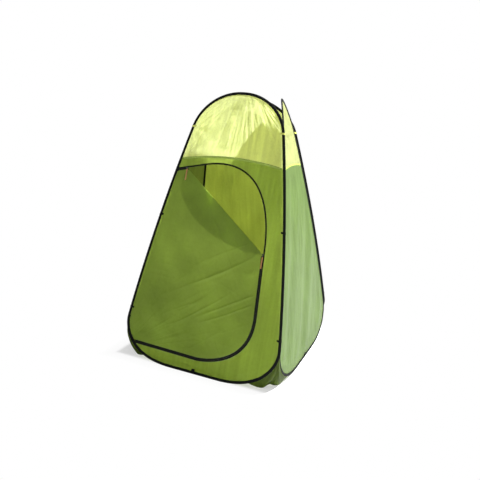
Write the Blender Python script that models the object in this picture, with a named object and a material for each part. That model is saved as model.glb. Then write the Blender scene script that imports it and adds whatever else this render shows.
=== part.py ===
"""Pop-up toilet tent: four sprung wire hoops in piped bindings, fabric walls, a zipped D-shaped door.

Metres, +Z up. The origin is on the ground under the middle of the tent, and the door wall faces -Y.
A place on a wall is (u, z, out): u runs along the wall, z is the height, out is off the fabric.
"""

import math

import bmesh
import bpy
from mathutils import Matrix, Vector

# Overall form
HEIGHT = 1.900
HALF_WIDTH_LOW = 0.609
HALF_WIDTH_HIGH = 0.278
WIDTH_BOW = 0.0376
HALF_DEPTH_LOW = 0.649
HALF_DEPTH_HIGH = 0.045
DEPTH_BOW = 0.005

# Rounding of each hoop: a flat run on the ground, round feet, an arched crown
FOOT_FLAT = 0.25
FOOT_HEIGHT = 0.280
FOOT_SIDE_POWER = 2.56
FOOT_RISE_POWER = 1.76
CROWN_HEIGHT = 0.264
CROWN_SIDE_POWER = 2.18
CROWN_RISE_POWER = 2.30
FOOT_STEPS = 7
SIDE_STEPS = 6
CROWN_STEPS = 7
CROWN_BLUNT = 0.0015

# How far each free crown leans in at its tip, and how much lower the lean leaves it
CROWN_LEAN = {"front": 0.0, "right": 0.018, "back": 0.020, "left": 0.060}
CROWN_SINK = {"front": 0.0, "right": 0.025, "back": 0.028, "left": 0.064}

# Clearances
GAP = 0.0003
SEAT = 0.0010

# Hoop wire and its joining sleeve
WIRE_RADIUS = 0.0020
WIRE_SIDES = 6
SLEEVE_WALL = 0.0008
SLEEVE_STEPS = 3
SLEEVE_HALF = 0.030
SLEEVE_SIDES = 8
WIRE_END_GAP = 0.0010

# Binding: a piped bead round the hoop, with two legs that hold the fabric's edge
BEAD_HALF = 0.0044
BINDING_OUTSIDE = 0.0048
BINDING_REACH = 0.0150
LEG_HALF = 0.0018
LEG_WALL = 0.0008
BEAD_TAPER = 0.0060
BEAD_SHOULDER = 0.45
BEAD_HOLLOW = 0.8
GROUND_FLAT = 0.0007

# Fabric
FABRIC = 0.0006
FABRIC_INSET = 0.0100
SEAM_SIDE = 1.414
SEAM_RISE = 0.036
SEAM_TAPE = 0.012
SEAM_STEPS = 12
SEAM_GAP = 0.0010
FOLD = 0.0070
FOLD_SPACING = 0.300
FOLD_FROM = 0.012
FOLD_FULL = 0.110
FOLD_EASE = 1.5
SECOND_FOLD = 0.5
SECOND_SPACING = 1.7
SIDEWAYS_CELLS = 10
LOWER_CELLS = 12
UPPER_CELLS = 3
UPPER_ROWS = UPPER_CELLS + CROWN_STEPS - 1
WALL_LEANS = {"front": 0.5, "right": -0.3, "back": 0.4, "left": 0.2}
SURROUND_LEAN = (0.1, 0.5)
SURROUND_CELLS = 4

# Door
DOOR_TOP_OUTER = 1.336
DOOR_TOP_INNER = (-0.200, 1.382)
DOOR_SIDE_HIGH = (0.3506, 0.900)
DOOR_SIDE_LOW = (0.3767, 0.450)
DOOR_FOOT_INNER = (0.0, 0.1015)
DOOR_FOOT_OUTER = 0.112
TOP_PULLS = (0.460, 0.213)
FOOT_PULLS = (0.3345, 0.030)
OPEN_FROM = 0.069
OPEN_TO = 0.852
DOOR_LEAN = (0.75, 2.0)
DOOR_CELLS = 12
DOOR_SPAN = 0.80
FLAP_LEAN = (1.2, 0.0)
FLAP_CELLS = (14, 5)
STRIP_CELLS = (2, 14)
FLAP_MARGIN = 0.03
FLAP_CLOTH_MARGIN = 0.045
FLAP_FOLD = math.radians(130)
HINGE_SET = 0.004
ZIP_START = 0.0015

# Zip
TEETH_FROM = 0.0011
TEETH_WIDTH = 0.0025
TEETH_HALF = 0.0014
TAPE_WIDTH = 0.0115
TAPE_HALF = 0.0005
ZIP_CURVE_STEPS = 16
SHUT_STEPS = 3
SURROUND_FOOT_STEPS = 6
DOOR_FOOT_STEPS = 5

# Zip sliders and their pulls
PLATE_LENGTH = 0.0150
PLATE_WIDTH = 0.0110
PLATE_THICK = 0.0012
PLATE_CLEAR = 0.0006
POST_WIDTH = 0.0015
POST_LENGTH = 0.0040
BRIDGE_WIDTH = 0.0026
BRIDGE_RISE = 0.0030
BRIDGE_THICK = 0.0012
PIN_RADIUS = 0.0008
PULL_LENGTH = 0.0950
PULL_WIDTH = 0.0090
PULL_THICK = 0.0016
BAIL_LENGTH = 0.0110
TAB_FLARE = 1.1
TAB_TIP = 0.5
PLATE_TAPER = 0.7
BRIDGE_SPAN = 0.7

# Corner pieces and ground loops
TAB_HEIGHT = 0.012
TAB_REACH = 0.020
TAB_THICK = 0.0010
TAB_TURN = 0.0035
TAB_LEVELS = {"high": 1.643, "mid": 1.011, "low": 0.340}
GUSSET_TOP = 0.235
GUSSET_THICK = 0.0008
GUSSET_BULGE = 0.018
GUSSET_FOLD = 0.026
GUSSET_LIFT = 0.0012
GUSSET_FOOT = 0.66
GUSSET_COLUMNS = 14
GUSSET_SAG = 6
GUSSET_PROUD = 0.0020
GUSSET_TUCKED = 0.0034
LOOP_WIDTH = 0.024
LOOP_HEIGHT = 0.030
LOOP_THICK = 0.0024

# Base colour, roughness and metalness of each material
LOOKS = {
    "spring_steel": ((0.35, 0.35, 0.36), 0.35, 1.0),
    "black_binding": ((0.004, 0.005, 0.004), 0.75, 0.0),
    "green_fabric": ((0.17, 0.26, 0.035), 0.6, 0.0),
    "yellow_fabric": ((0.80, 0.86, 0.30), 0.6, 0.0),
    "dark_green_fabric": ((0.08, 0.14, 0.015), 0.65, 0.0),
    "zip_black": ((0.01, 0.012, 0.008), 0.5, 0.0),
    "slider_metal": ((0.20, 0.20, 0.20), 0.35, 1.0),
    "pull_brown": ((0.25, 0.09, 0.02), 0.55, 0.0),
}

WIRE_ROOM = WIRE_RADIUS + SLEEVE_WALL + 2 * GAP
HOOP_SET = BEAD_HALF + SEAT + BINDING_OUTSIDE
HOOP_OVERHANG = 0.0080
HOOP_LIFT = 0.0040
CROWN_START = HEIGHT - CROWN_HEIGHT
CROWN_TURNS = [math.pi / 2 * step / CROWN_STEPS for step in range(CROWN_STEPS + 1)]
CROWN_RISES = [math.sin(turn) ** (2 / CROWN_RISE_POWER) for turn in CROWN_TURNS]
SHARP_EDGE = math.radians(40)
SMALL = 1e-5


def clear_scene():
    for thing in list(bpy.data.objects):
        bpy.data.objects.remove(thing, do_unlink=True)


def make_material(name):
    colour, roughness, metallic = LOOKS[name]
    material = bpy.data.materials.new(name)
    material.use_nodes = True
    shader = material.node_tree.nodes["Principled BSDF"]
    shader.inputs["Base Color"].default_value = (*colour, 1.0)
    shader.inputs["Roughness"].default_value = roughness
    shader.inputs["Metallic"].default_value = metallic
    material.diffuse_color = (*colour, 1.0)
    return material


def tapered(low, high, bow):
    """A half size that narrows from low at the ground to high at the top, with the hoops' slight bow."""

    def at(z):
        rise = z / HEIGHT
        return low + (high - low) * rise + 4 * bow * rise * (1 - rise)

    return at


class Wall:
    """One side of the tent: how wide it is, how far out it stands, and which way it faces."""

    def __init__(self, name, quarter_turns, half, away, hoop_out):
        self.name = name
        self.half = half
        self.upright = away
        self.hoop_out = hoop_out
        self.top = HEIGHT - CROWN_SINK[name]
        self.lean = CROWN_LEAN[name]
        self.turn = Matrix.Rotation(math.radians(90 * quarter_turns), 3, "Z")

    def away(self, z):
        """How far out the wall stands at height z; its free crown leans in, in the steps of the hoop."""
        rise = (z - CROWN_START) / (self.top - HOOP_LIFT - CROWN_START)
        leaning = 0.0
        past_tip = 2 * CROWN_RISES[-1] - CROWN_RISES[-2]
        rises = CROWN_RISES + [past_tip]
        for low, high in zip(rises, rises[1:]):
            share = max(0.0, min(1.0, (rise - low) / (high - low)))
            leaning += share * (high**2 - low**2)
        return self.upright(z) - self.lean * leaning

    def normal(self, z):
        slope = (self.away(z + SMALL) - self.away(z - SMALL)) / (2 * SMALL)
        return self.turn @ Vector((0.0, -1.0, -slope)).normalized()

    def point(self, u, z, out=0.0):
        return self.turn @ Vector((u, -self.away(z), z)) + out * self.normal(z)

    def wire(self, z):
        """How far the hoop's wire stands from the wall's middle at height z, on its straight sides."""
        return self.half(z) + self.hoop_out


WIDTH = tapered(HALF_WIDTH_LOW, HALF_WIDTH_HIGH, WIDTH_BOW)
DEPTH = tapered(HALF_DEPTH_LOW, HALF_DEPTH_HIGH, DEPTH_BOW)
FRONT = Wall("front", 0, WIDTH, DEPTH, HOOP_OVERHANG)
RIGHT = Wall("right", 1, DEPTH, WIDTH, -HOOP_SET)
BACK = Wall("back", 2, WIDTH, DEPTH, HOOP_OVERHANG)
LEFT = Wall("left", 3, DEPTH, WIDTH, -HOOP_SET)
WALLS = (FRONT, RIGHT, BACK, LEFT)


def foot_height(share, inset=0.0):
    """Height of the hoop's lower edge at a share of the half width."""
    low = HOOP_LIFT + inset
    along = max(0.0, (abs(share) - FOOT_FLAT) / (1 - FOOT_FLAT))
    drop = (1 - min(1.0, along) ** FOOT_SIDE_POWER) ** (1 / FOOT_RISE_POWER)
    return FOOT_HEIGHT - (FOOT_HEIGHT - low) * drop


def foot_share(z, inset=0.0):
    """Share of the half width that the hoop reaches at height z, the inverse of foot_height."""
    low = HOOP_LIFT + inset
    drop = (FOOT_HEIGHT - z) / (FOOT_HEIGHT - low)
    return FOOT_FLAT + (1 - FOOT_FLAT) * (1 - drop**FOOT_RISE_POWER) ** (1 / FOOT_SIDE_POWER)


def crown_share(wall, z, inset):
    """Share of the half width that the crown reaches at height z."""
    rise = max(0.0, z - CROWN_START) / (wall.top - HOOP_LIFT - inset - CROWN_START)
    return (1 - min(1.0, rise) ** CROWN_RISE_POWER) ** (1 / CROWN_SIDE_POWER)


def crown_levels(wall):
    """Heights of the hoop's steps over its crown, from where it starts to its tip."""
    return [CROWN_START + (wall.top - HOOP_LIFT - CROWN_START) * rise for rise in CROWN_RISES]


def hoop_path(wall):
    """The hoop's wire as (u, z), round the wall from the middle of its foot, up the right side."""
    right = [(0.0, HOOP_LIFT)]
    for step in range(FOOT_STEPS):
        angle = math.pi / 2 * step / FOOT_STEPS
        share = FOOT_FLAT + (1 - FOOT_FLAT) * math.sin(angle) ** (2 / FOOT_SIDE_POWER)
        z = FOOT_HEIGHT - (FOOT_HEIGHT - HOOP_LIFT) * math.cos(angle) ** (2 / FOOT_RISE_POWER)
        right.append((share * wall.wire(z), z))
    for step in range(SIDE_STEPS):
        z = FOOT_HEIGHT + (CROWN_START - FOOT_HEIGHT) * step / SIDE_STEPS
        right.append((wall.wire(z), z))
    for angle, z in zip(CROWN_TURNS[:-1], crown_levels(wall)):
        share = math.cos(angle) ** (2 / CROWN_SIDE_POWER)
        right.append((share * wall.wire(z), z))
    left = [(-u, z) for u, z in reversed(right[1:])]
    return right + [(0.0, wall.top - HOOP_LIFT)] + left


def frames_along(wall, path, closed):
    """For each point of a path on the wall: its place, the wall's normal, and the way across the path."""
    points = [wall.point(u, z) for u, z in path]
    last = len(points) - 1
    frames = []
    for index, (u, z) in enumerate(path):
        after = points[(index + 1) % len(points)] if closed else points[min(index + 1, last)]
        before = points[index - 1] if closed else points[max(index - 1, 0)]
        normal = wall.normal(z)
        across = (after - before).cross(normal).normalized()
        frames.append((points[index], normal, across))
    return frames


def add_object(name, bm, material, smooth=True):
    bmesh.ops.recalc_face_normals(bm, faces=bm.faces[:])
    if bm.calc_volume(signed=True) < 0:
        bmesh.ops.reverse_faces(bm, faces=bm.faces[:])
    mesh = bpy.data.meshes.new(name)
    bm.to_mesh(mesh)
    bm.free()
    mesh.materials.append(material)
    if smooth:
        mesh.shade_smooth()
        mesh.set_sharp_from_angle(angle=SHARP_EDGE)
    thing = bpy.data.objects.new(name, mesh)
    bpy.context.scene.collection.objects.link(thing)
    return thing


def loft(name, rings, closed, material):
    """A solid through rings of corner points, capped at its ends unless it closes on itself."""
    bm = bmesh.new()
    loops = [[bm.verts.new(corner) for corner in ring] for ring in rings]
    size = len(loops[0])
    pairs = list(zip(loops, loops[1:]))
    if closed:
        pairs.append((loops[-1], loops[0]))
    for one, other in pairs:
        for index in range(size):
            after = (index + 1) % size
            bm.faces.new((one[index], one[after], other[after], other[index]))
    if not closed:
        bm.faces.new(loops[0])
        bm.faces.new(loops[-1])
    return add_object(name, bm, material)


def sweep(name, wall, path, profile, closed, material, skews=(0.0, 0.0)):
    """A profile of (across, out) corners carried along a path on the wall; skews lean its two ends."""
    frames = frames_along(wall, path, closed)
    leans = [skews[0]] + [0.0] * (len(path) - 2) + [skews[1]]
    rings = []
    for (place, normal, across), lean in zip(frames, leans):
        leaning = across + normal.cross(across) * lean
        rings.append([place + a * leaning + out * normal for a, out in profile])
    return loft(name, rings, closed, material)


def sheet(name, place, columns, rows, material, thickness=FABRIC):
    """A thin slab: a flat grid, given its thickness and laid out by place(x, y, out), x and y from -1 to 1."""
    bm = bmesh.new()
    bmesh.ops.create_grid(bm, x_segments=columns, y_segments=rows, size=1.0)
    face = bmesh.ops.extrude_face_region(bm, geom=bm.faces[:])
    raised = [part for part in face["geom"] if isinstance(part, bmesh.types.BMVert)]
    bmesh.ops.translate(bm, vec=(0.0, 0.0, 1.0), verts=raised)
    for vert in bm.verts:
        x, y, layer = vert.co
        vert.co = place(x, y, (layer - 0.5) * thickness)
    return add_object(name, bm, material)


def crowd(share):
    """Moves grid lines towards the edges, so that the folds end before the binding."""
    return math.sin(share * math.pi / 2)


def fade(distance):
    """0 up to a little past the binding's legs, then rising smoothly to 1 further from an edge."""
    along = (distance - FOLD_FROM) / (FOLD_FULL - FOLD_FROM)
    return max(0.0, min(1.0, along)) ** FOLD_EASE


def folds(u, z, lean, phase):
    """Height of the soft folds that run across a wall, leaning by lean radians from upright."""
    along = u * math.cos(lean) + z * math.sin(lean)
    turns = math.tau * along / FOLD_SPACING
    wave = math.sin(turns + phase) + SECOND_FOLD * math.sin(SECOND_SPACING * turns + 2 * phase)
    return FOLD * wave / (1 + SECOND_FOLD)


def edge_share(wall, z):
    """The fabric's edge at height z, inside the hoop's wire."""
    return wall.wire(z) - FABRIC_INSET


def seam_height(share):
    return SEAM_SIDE + SEAM_RISE * (1 - share**2)


def lower_place(wall, lean, phase):
    """Lays a slab from the hoop's rounded foot up to the seam, the full width of the wall."""

    def place(x, y, out):
        share = crowd(x)
        bottom = foot_height(share, FABRIC_INSET)
        top = seam_height(share) - SEAM_GAP / 2
        z = bottom + (top - bottom) * (crowd(y) + 1) / 2
        u = share * edge_share(wall, z)
        edge = min(edge_share(wall, z) - abs(u), z - bottom, top - z)
        return wall.point(u, z, out + fade(edge) * folds(u, z, lean, phase))

    return place


def upper_place(wall, lean, phase):
    """Lays a slab from the seam up into the crown, with a row at each of the hoop's own steps there."""
    levels = crown_levels(wall)
    levels[-2:] = [levels[-1] - FABRIC_INSET - CROWN_BLUNT]

    def place(x, y, out):
        row = round((y + 1) / 2 * UPPER_ROWS)
        share = crowd(x)
        bottom = seam_height(share) + SEAM_GAP / 2
        if row < UPPER_CELLS:
            z = bottom + (CROWN_START - bottom) * row / UPPER_CELLS
        else:
            z = levels[row - UPPER_CELLS]
        half = crown_share(wall, z, FABRIC_INSET) * edge_share(wall, z)
        u = share * half
        edge = min(half - abs(u), z - bottom, levels[-1] - z)
        return wall.point(u, z, out + fade(edge) * folds(u, z, lean, phase))

    return place


def bezier(start, pull_in, pull_out, end, t):
    s = 1 - t
    parts = (s**3, 3 * s * s * t, 3 * s * t * t, t**3)
    return tuple(
        sum(part * point[axis] for part, point in zip(parts, (start, pull_in, pull_out, end)))
        for axis in (0, 1)
    )


def stepped(start, end, length):
    """The point at a length from start towards end, in a wall's own plane."""
    way = Vector(end) - Vector(start)
    return tuple(Vector(start) + way.normalized() * length)


def inside_edge(wall, z):
    """Where the binding's legs end on the wall's left side."""
    if z < FOOT_HEIGHT:
        return -foot_share(z, BINDING_REACH + GAP) * (wall.wire(z) - BINDING_REACH - GAP)
    return -(wall.wire(z) - BINDING_REACH - GAP)


def door_line():
    """The zip's line in the front wall, (u, z), from the top left, over the door, to the bottom left.

    It also gives the line's steps where the open stretch begins and ends.
    """
    top_outer = (inside_edge(FRONT, DOOR_TOP_OUTER) + ZIP_START, DOOR_TOP_OUTER)
    foot_outer = (inside_edge(FRONT, DOOR_FOOT_OUTER) + ZIP_START, DOOR_FOOT_OUTER)
    top_pull = stepped(DOOR_TOP_INNER, top_outer, -TOP_PULLS[0])
    side_pull = stepped(DOOR_SIDE_HIGH, DOOR_SIDE_LOW, -TOP_PULLS[1])
    low_pull = stepped(DOOR_SIDE_LOW, DOOR_SIDE_HIGH, -FOOT_PULLS[0])
    foot_pull = stepped(DOOR_FOOT_INNER, foot_outer, -FOOT_PULLS[1])
    line = [top_outer, stepped(top_outer, DOOR_TOP_INNER, OPEN_FROM)]
    first_open = len(line) - 1
    for step in range(ZIP_CURVE_STEPS + 1):
        line.append(bezier(DOOR_TOP_INNER, top_pull, side_pull, DOOR_SIDE_HIGH, step / ZIP_CURVE_STEPS))
    side_run = Vector(DOOR_SIDE_LOW) - Vector(DOOR_SIDE_HIGH)
    opened = (DOOR_SIDE_HIGH[1] - OPEN_TO) / (DOOR_SIDE_HIGH[1] - DOOR_SIDE_LOW[1])
    last_open = len(line)
    for step in range(SHUT_STEPS):
        share = opened + (1 - opened) * step / SHUT_STEPS
        line.append(tuple(Vector(DOOR_SIDE_HIGH) + side_run * share))
    for step in range(ZIP_CURVE_STEPS + 1):
        line.append(bezier(DOOR_SIDE_LOW, low_pull, foot_pull, DOOR_FOOT_INNER, step / ZIP_CURVE_STEPS))
    for step in range(1, SHUT_STEPS + 1):
        line.append(tuple(Vector(DOOR_FOOT_INNER).lerp(Vector(foot_outer), step / SHUT_STEPS)))
    return line, first_open, last_open


DOOR_LINE, FIRST_OPEN, LAST_OPEN = door_line()


def edge_skew(line_index, next_index):
    """How far an end of the door's line leans along it for each step across, to stay beside the binding."""
    place = Vector(DOOR_LINE[line_index])
    way = (place - Vector(DOOR_LINE[next_index])).normalized()
    if line_index == 0:
        way = -way
    across = Vector((way.y, -way.x))
    step = TAPE_WIDTH
    low = Vector((inside_edge(FRONT, place.y - step), place.y - step))
    high = Vector((inside_edge(FRONT, place.y + step), place.y + step))
    edge = high - low
    return edge.dot(way) / edge.dot(across)


SKEWS = (edge_skew(0, 1), edge_skew(-1, -2))


def beside(line, distance, skews=(0.0, 0.0)):
    """A line moved sideways in the front wall's own plane; positive is away from the door."""
    stretch = math.hypot(1.0, (HALF_DEPTH_LOW - HALF_DEPTH_HIGH) / HEIGHT)
    moved = []
    last = len(line) - 1
    for index, point in enumerate(line):
        way = Vector(line[min(index + 1, last)]) - Vector(line[max(index - 1, 0)])
        way = Vector((way.x, way.y * stretch)).normalized()
        skew = skews[0] if index == 0 else skews[1] if index == last else 0.0
        shift = (Vector((-way.y, way.x)) - way * skew) * distance
        moved.append((point[0] + shift.x, point[1] + shift.y / stretch))
    return moved


def along_line(line, share):
    """The point at a share of a line's own length."""
    lengths = [(Vector(b) - Vector(a)).length for a, b in zip(line, line[1:])]
    left = min(max(share, 0.0), 1.0) * sum(lengths)
    for (a, b), length in zip(zip(line, line[1:]), lengths):
        if left <= length + SMALL:
            return Vector(a).lerp(Vector(b), min(1.0, left / length))
        left -= length
    return Vector(line[-1])


def coons(bottom, right, top, left, across, up):
    """A point inside four edge lines; bottom and top run left to right, left and right run upwards."""
    low = along_line(bottom, across)
    high = along_line(top, across)
    west = along_line(left, up)
    east = along_line(right, up)
    corners = (
        (1 - across) * (1 - up) * Vector(bottom[0])
        + across * (1 - up) * Vector(bottom[-1])
        + (1 - across) * up * Vector(top[0])
        + across * up * Vector(top[-1])
    )
    return (1 - up) * low + up * high + (1 - across) * west + across * east - corners


def make_hoops(steel):
    """The sprung wire of each wall, open at the foot, where a crimped sleeve joins its ends."""
    round_wire = ring_profile(WIRE_RADIUS, WIRE_SIDES)
    to_corner = 1 / math.cos(math.pi / SLEEVE_SIDES)
    bore_ring = ring_profile((WIRE_RADIUS + GAP) * to_corner, SLEEVE_SIDES)
    sleeve_ring = ring_profile((WIRE_RADIUS + GAP + SLEEVE_WALL) * to_corner, SLEEVE_SIDES)
    for wall in WALLS:
        path = hoop_path(wall)
        start = (WIRE_END_GAP / 2, HOOP_LIFT)
        end = (-WIRE_END_GAP / 2, HOOP_LIFT)
        sweep(f"hoop_{wall.name}", wall, [start] + path[1:] + [end], round_wire, False, steel)
        run = [
            (SLEEVE_HALF * (2 * step / SLEEVE_STEPS - 1), HOOP_LIFT)
            for step in range(SLEEVE_STEPS + 1)
        ]
        frames = frames_along(wall, run, False)
        outside = [[p + a * w + o * n for a, o in sleeve_ring] for p, n, w in frames]
        inside = [[p + a * w + o * n for a, o in bore_ring] for p, n, w in reversed(frames)]
        loft(f"hoop_sleeve_{wall.name}", outside + inside, True, steel)


def ring_profile(radius, sides):
    """Corners of a round bar, on a circle of the given radius."""
    turns = [math.tau * (side + 0.5) / sides for side in range(sides)]
    return [(radius * math.cos(turn), radius * math.sin(turn)) for turn in turns]


def make_bindings(webbing):
    """The piped edge of each wall: a bead round the wire and two legs over the fabric."""
    shoulder = BINDING_OUTSIDE * BEAD_SHOULDER
    inside_reach = WIRE_ROOM + GAP
    outer = [
        (-BINDING_REACH, LEG_HALF),
        (-BEAD_TAPER, BEAD_HALF),
        (shoulder, BEAD_HALF),
        (BINDING_OUTSIDE, BEAD_HALF * BEAD_SHOULDER),
    ]
    inner = [
        (inside_reach, inside_reach / 2),
        (shoulder / 2, inside_reach),
        (-BEAD_TAPER * BEAD_HOLLOW, inside_reach),
        (-BINDING_REACH, LEG_HALF - LEG_WALL),
    ]
    mirrored_outer = [(a, -out) for a, out in reversed(outer)]
    mirrored_inner = [(a, -out) for a, out in reversed(inner)]
    profile = outer + mirrored_outer + mirrored_inner + inner
    for wall in WALLS:
        thing = sweep(f"binding_{wall.name}", wall, hoop_path(wall), profile, True, webbing)
        for vert in thing.data.vertices:
            if vert.co.z < GROUND_FLAT:
                vert.co.z = 0.0


def make_wall_panels(green, yellow):
    """Green lower and yellow upper fabric; the front wall's lower fabric is the door and its surround."""
    for number, wall in enumerate(WALLS):
        lean = WALL_LEANS[wall.name]
        if wall is not FRONT:
            lower = lower_place(wall, lean, number)
            sheet(f"lower_panel_{wall.name}", lower, SIDEWAYS_CELLS, LOWER_CELLS, green)
        upper = upper_place(wall, -lean, number + 1)
        sheet(f"upper_panel_{wall.name}", upper, SIDEWAYS_CELLS, UPPER_ROWS, yellow)


def make_seam_tapes(green):
    for wall in WALLS:
        path = []
        for step in range(SEAM_STEPS + 1):
            share = 2 * step / SEAM_STEPS - 1
            z = seam_height(share)
            path.append((share * (wall.wire(z) - BINDING_REACH - SEAM_TAPE / 2), z))
        inner = FABRIC / 2 + GAP
        outer = inner + FABRIC
        half = SEAM_TAPE / 2
        profile = [(-half, inner), (half, inner), (half, outer), (-half, outer)]
        sweep(f"seam_tape_{wall.name}", wall, path, profile, False, green)


def foot_point(angle, side):
    """The front fabric's lower edge at an angle of its rounded foot, 0 at the flat run, side 1 or -1."""
    share = FOOT_FLAT + (1 - FOOT_FLAT) * math.sin(angle) ** (2 / FOOT_SIDE_POWER)
    low = HOOP_LIFT + FABRIC_INSET
    z = FOOT_HEIGHT - (FOOT_HEIGHT - low) * math.cos(angle) ** (2 / FOOT_RISE_POWER)
    return side * share * edge_share(FRONT, z), z


def make_front_surround(green):
    """The fixed fabric round the door, from the seam, down the right side and along the foot."""
    inner = beside(DOOR_LINE, TAPE_WIDTH + GAP, SKEWS)
    corner = FIRST_OPEN + 1 + ZIP_CURVE_STEPS // 2
    turn = LAST_OPEN + SHUT_STEPS + ZIP_CURVE_STEPS // 2
    top = []
    for step in range(corner + 1):
        share = 2 * step / corner - 1
        z = seam_height(share) - SEAM_GAP / 2
        top.append((share * edge_share(FRONT, z), z))
    side = []
    for step in range(1, turn - corner + 1):
        z = top[-1][1] + (FOOT_HEIGHT - top[-1][1]) * step / (turn - corner)
        side.append((edge_share(FRONT, z), z))
    foot_steps = len(inner) - 1 - turn - SURROUND_FOOT_STEPS
    drop = (FOOT_HEIGHT - inner[-1][1]) / (FOOT_HEIGHT - HOOP_LIFT - FABRIC_INSET)
    last_turn = math.acos(drop ** (FOOT_RISE_POWER / 2))
    turns = [math.pi / 2 * (1 - step / SURROUND_FOOT_STEPS) for step in range(1, SURROUND_FOOT_STEPS + 1)]
    foot = [foot_point(angle, 1) for angle in turns]
    foot += [foot_point(last_turn * step / (foot_steps - 1), -1) for step in range(foot_steps)]
    outer = top + side + foot
    columns = len(inner) - 1

    def place(x, y, out):
        number = round((x + 1) / 2 * columns)
        near = Vector(inner[number])
        far = Vector(outer[number])
        across = (crowd(y) + 1) / 2
        u, z = near.lerp(far, across)
        width = (far - near).length
        edge = min(across, 1 - across) * width
        return FRONT.point(u, z, out + fade(edge) * folds(u, z, *SURROUND_LEAN))

    sheet("front_surround", place, columns, SURROUND_CELLS, green)


def hinge_line():
    """The straight line beside the front-left binding that the door turns on, as two (u, z) points."""
    high = DOOR_TOP_OUTER - TAPE_WIDTH - HINGE_SET
    low = FOOT_HEIGHT
    return (inside_edge(FRONT, low) + HINGE_SET, low), (inside_edge(FRONT, high) + HINGE_SET, high)


def at_height(line, z):
    (u_low, z_low), (u_high, z_high) = line
    return u_low + (u_high - u_low) * (z - z_low) / (z_high - z_low)


def make_door_strip(green):
    """The strip of fabric that stays in the front-left binding and carries the door."""
    line = hinge_line()

    def place(x, y, out):
        z = line[0][1] + (line[1][1] - line[0][1]) * (y + 1) / 2
        edge = -edge_share(FRONT, z)
        inner = at_height(line, z) - GAP
        return FRONT.point(edge + (inner - edge) * (x + 1) / 2, z, out)

    sheet("door_hinge_strip", place, *STRIP_CELLS, green)


def chord():
    """The ends of the straight line that the opened flap folds on."""
    return Vector(DOOR_LINE[FIRST_OPEN]), Vector(DOOR_LINE[LAST_OPEN])


def make_door(green):
    """The door's fabric below the fold: hinge side, foot, zipped side and the fold itself."""
    high, low = chord()
    down = (low - high).normalized()
    aside = Vector((down.y, -down.x)) * GAP
    hinge = hinge_line()
    inner = beside(DOOR_LINE, -(TAPE_WIDTH + GAP), SKEWS)
    turn = LAST_OPEN + SHUT_STEPS + ZIP_CURVE_STEPS // 2
    fold_start = tuple(high + down * 2 * TAPE_WIDTH + aside)
    fold_end = tuple(low - down * (TAPE_WIDTH + PULL_THICK) + aside)
    foot = inner[: turn - 1 : -1]
    right = inner[turn : LAST_OPEN - 1 : -1] + [fold_end]
    top_left = (at_height(hinge, inner[0][1]) + GAP, inner[0][1])
    top = [top_left, inner[FIRST_OPEN], fold_start, fold_end]
    left = [foot[0]]
    for step in range(1, DOOR_FOOT_STEPS + 1):
        z = foot[0][1] + (FOOT_HEIGHT - foot[0][1]) * step / DOOR_FOOT_STEPS
        left.append((inside_edge(FRONT, z) + HINGE_SET + GAP, z))
    left.append(top_left)

    def place(x, y, out):
        across = (crowd(x) + 1) / 2
        up = (crowd(y) + 1) / 2
        u, z = coons(foot, right, top, left, across, up)
        edge = min(across, 1 - across, up, 1 - up) * DOOR_SPAN
        return FRONT.point(u, z, out + fade(edge) * folds(u, z, *DOOR_LEAN))

    return sheet("door_panel", place, DOOR_CELLS, DOOR_CELLS, green)


def make_flap(green):
    """The top of the door, built shut on the wall; it is then turned inward about the fold."""
    high, low = chord()
    down = (low - high).normalized()
    aside = Vector((-down.y, down.x)) * GAP
    start = high + down * 2 * TAPE_WIDTH + aside
    end = low - down * 2 * TAPE_WIDTH + aside
    opened = beside(DOOR_LINE[FIRST_OPEN : LAST_OPEN + 1], -(TAPE_WIDTH + GAP))

    def place(x, y, out):
        along = (x + 1) / 2
        up = (y + 1) / 2
        near = start.lerp(end, along)
        far = along_line(opened, FLAP_CLOTH_MARGIN + (1 - 2 * FLAP_CLOTH_MARGIN) * along)
        u, z = near.lerp(far, up)
        edge = min(up, 1 - up, along, 1 - along) * (far - near).length
        return FRONT.point(u, z, out + fade(edge) * folds(u, z, *FLAP_LEAN))

    return sheet("door_flap", place, *FLAP_CELLS, green)


def tape_profile(side):
    """A zip tape's section; side is 1 outside the door's line and -1 inside it."""
    near = side * TEETH_FROM
    step = side * (TEETH_FROM + TEETH_WIDTH)
    far = side * TAPE_WIDTH
    return [
        (near, TEETH_HALF),
        (step, TEETH_HALF),
        (step, TAPE_HALF),
        (far, TAPE_HALF),
        (far, -TAPE_HALF),
        (step, -TAPE_HALF),
        (step, -TEETH_HALF),
        (near, -TEETH_HALF),
    ]


def make_zips(black):
    """Tapes with their teeth: one on the surround, two on the door's shut stretches, one on the flap."""
    outer = tape_profile(-1)
    inner = tape_profile(1)
    sweep("zip_tape_surround", FRONT, DOOR_LINE, outer, False, black, SKEWS)
    above = DOOR_LINE[: FIRST_OPEN + 1]
    below = DOOR_LINE[LAST_OPEN:]
    above[-1] = stepped(above[-1], above[0], PLATE_LENGTH)
    below[0] = stepped(below[0], below[1], PLATE_LENGTH)
    short = sweep("zip_tape_door_top", FRONT, above, inner, False, black, (SKEWS[0], 0.0))
    long = sweep("zip_tape_door_side", FRONT, below, inner, False, black, (0.0, SKEWS[1]))
    opened = DOOR_LINE[FIRST_OPEN : LAST_OPEN + 1]
    ends = [tuple(along_line(opened, share)) for share in (FLAP_MARGIN, 1 - FLAP_MARGIN)]
    shortened = ends[:1] + opened[1:-1] + ends[1:]
    flap = sweep("zip_tape_flap", FRONT, shortened, inner, False, black)
    return short, long, flap


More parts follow.
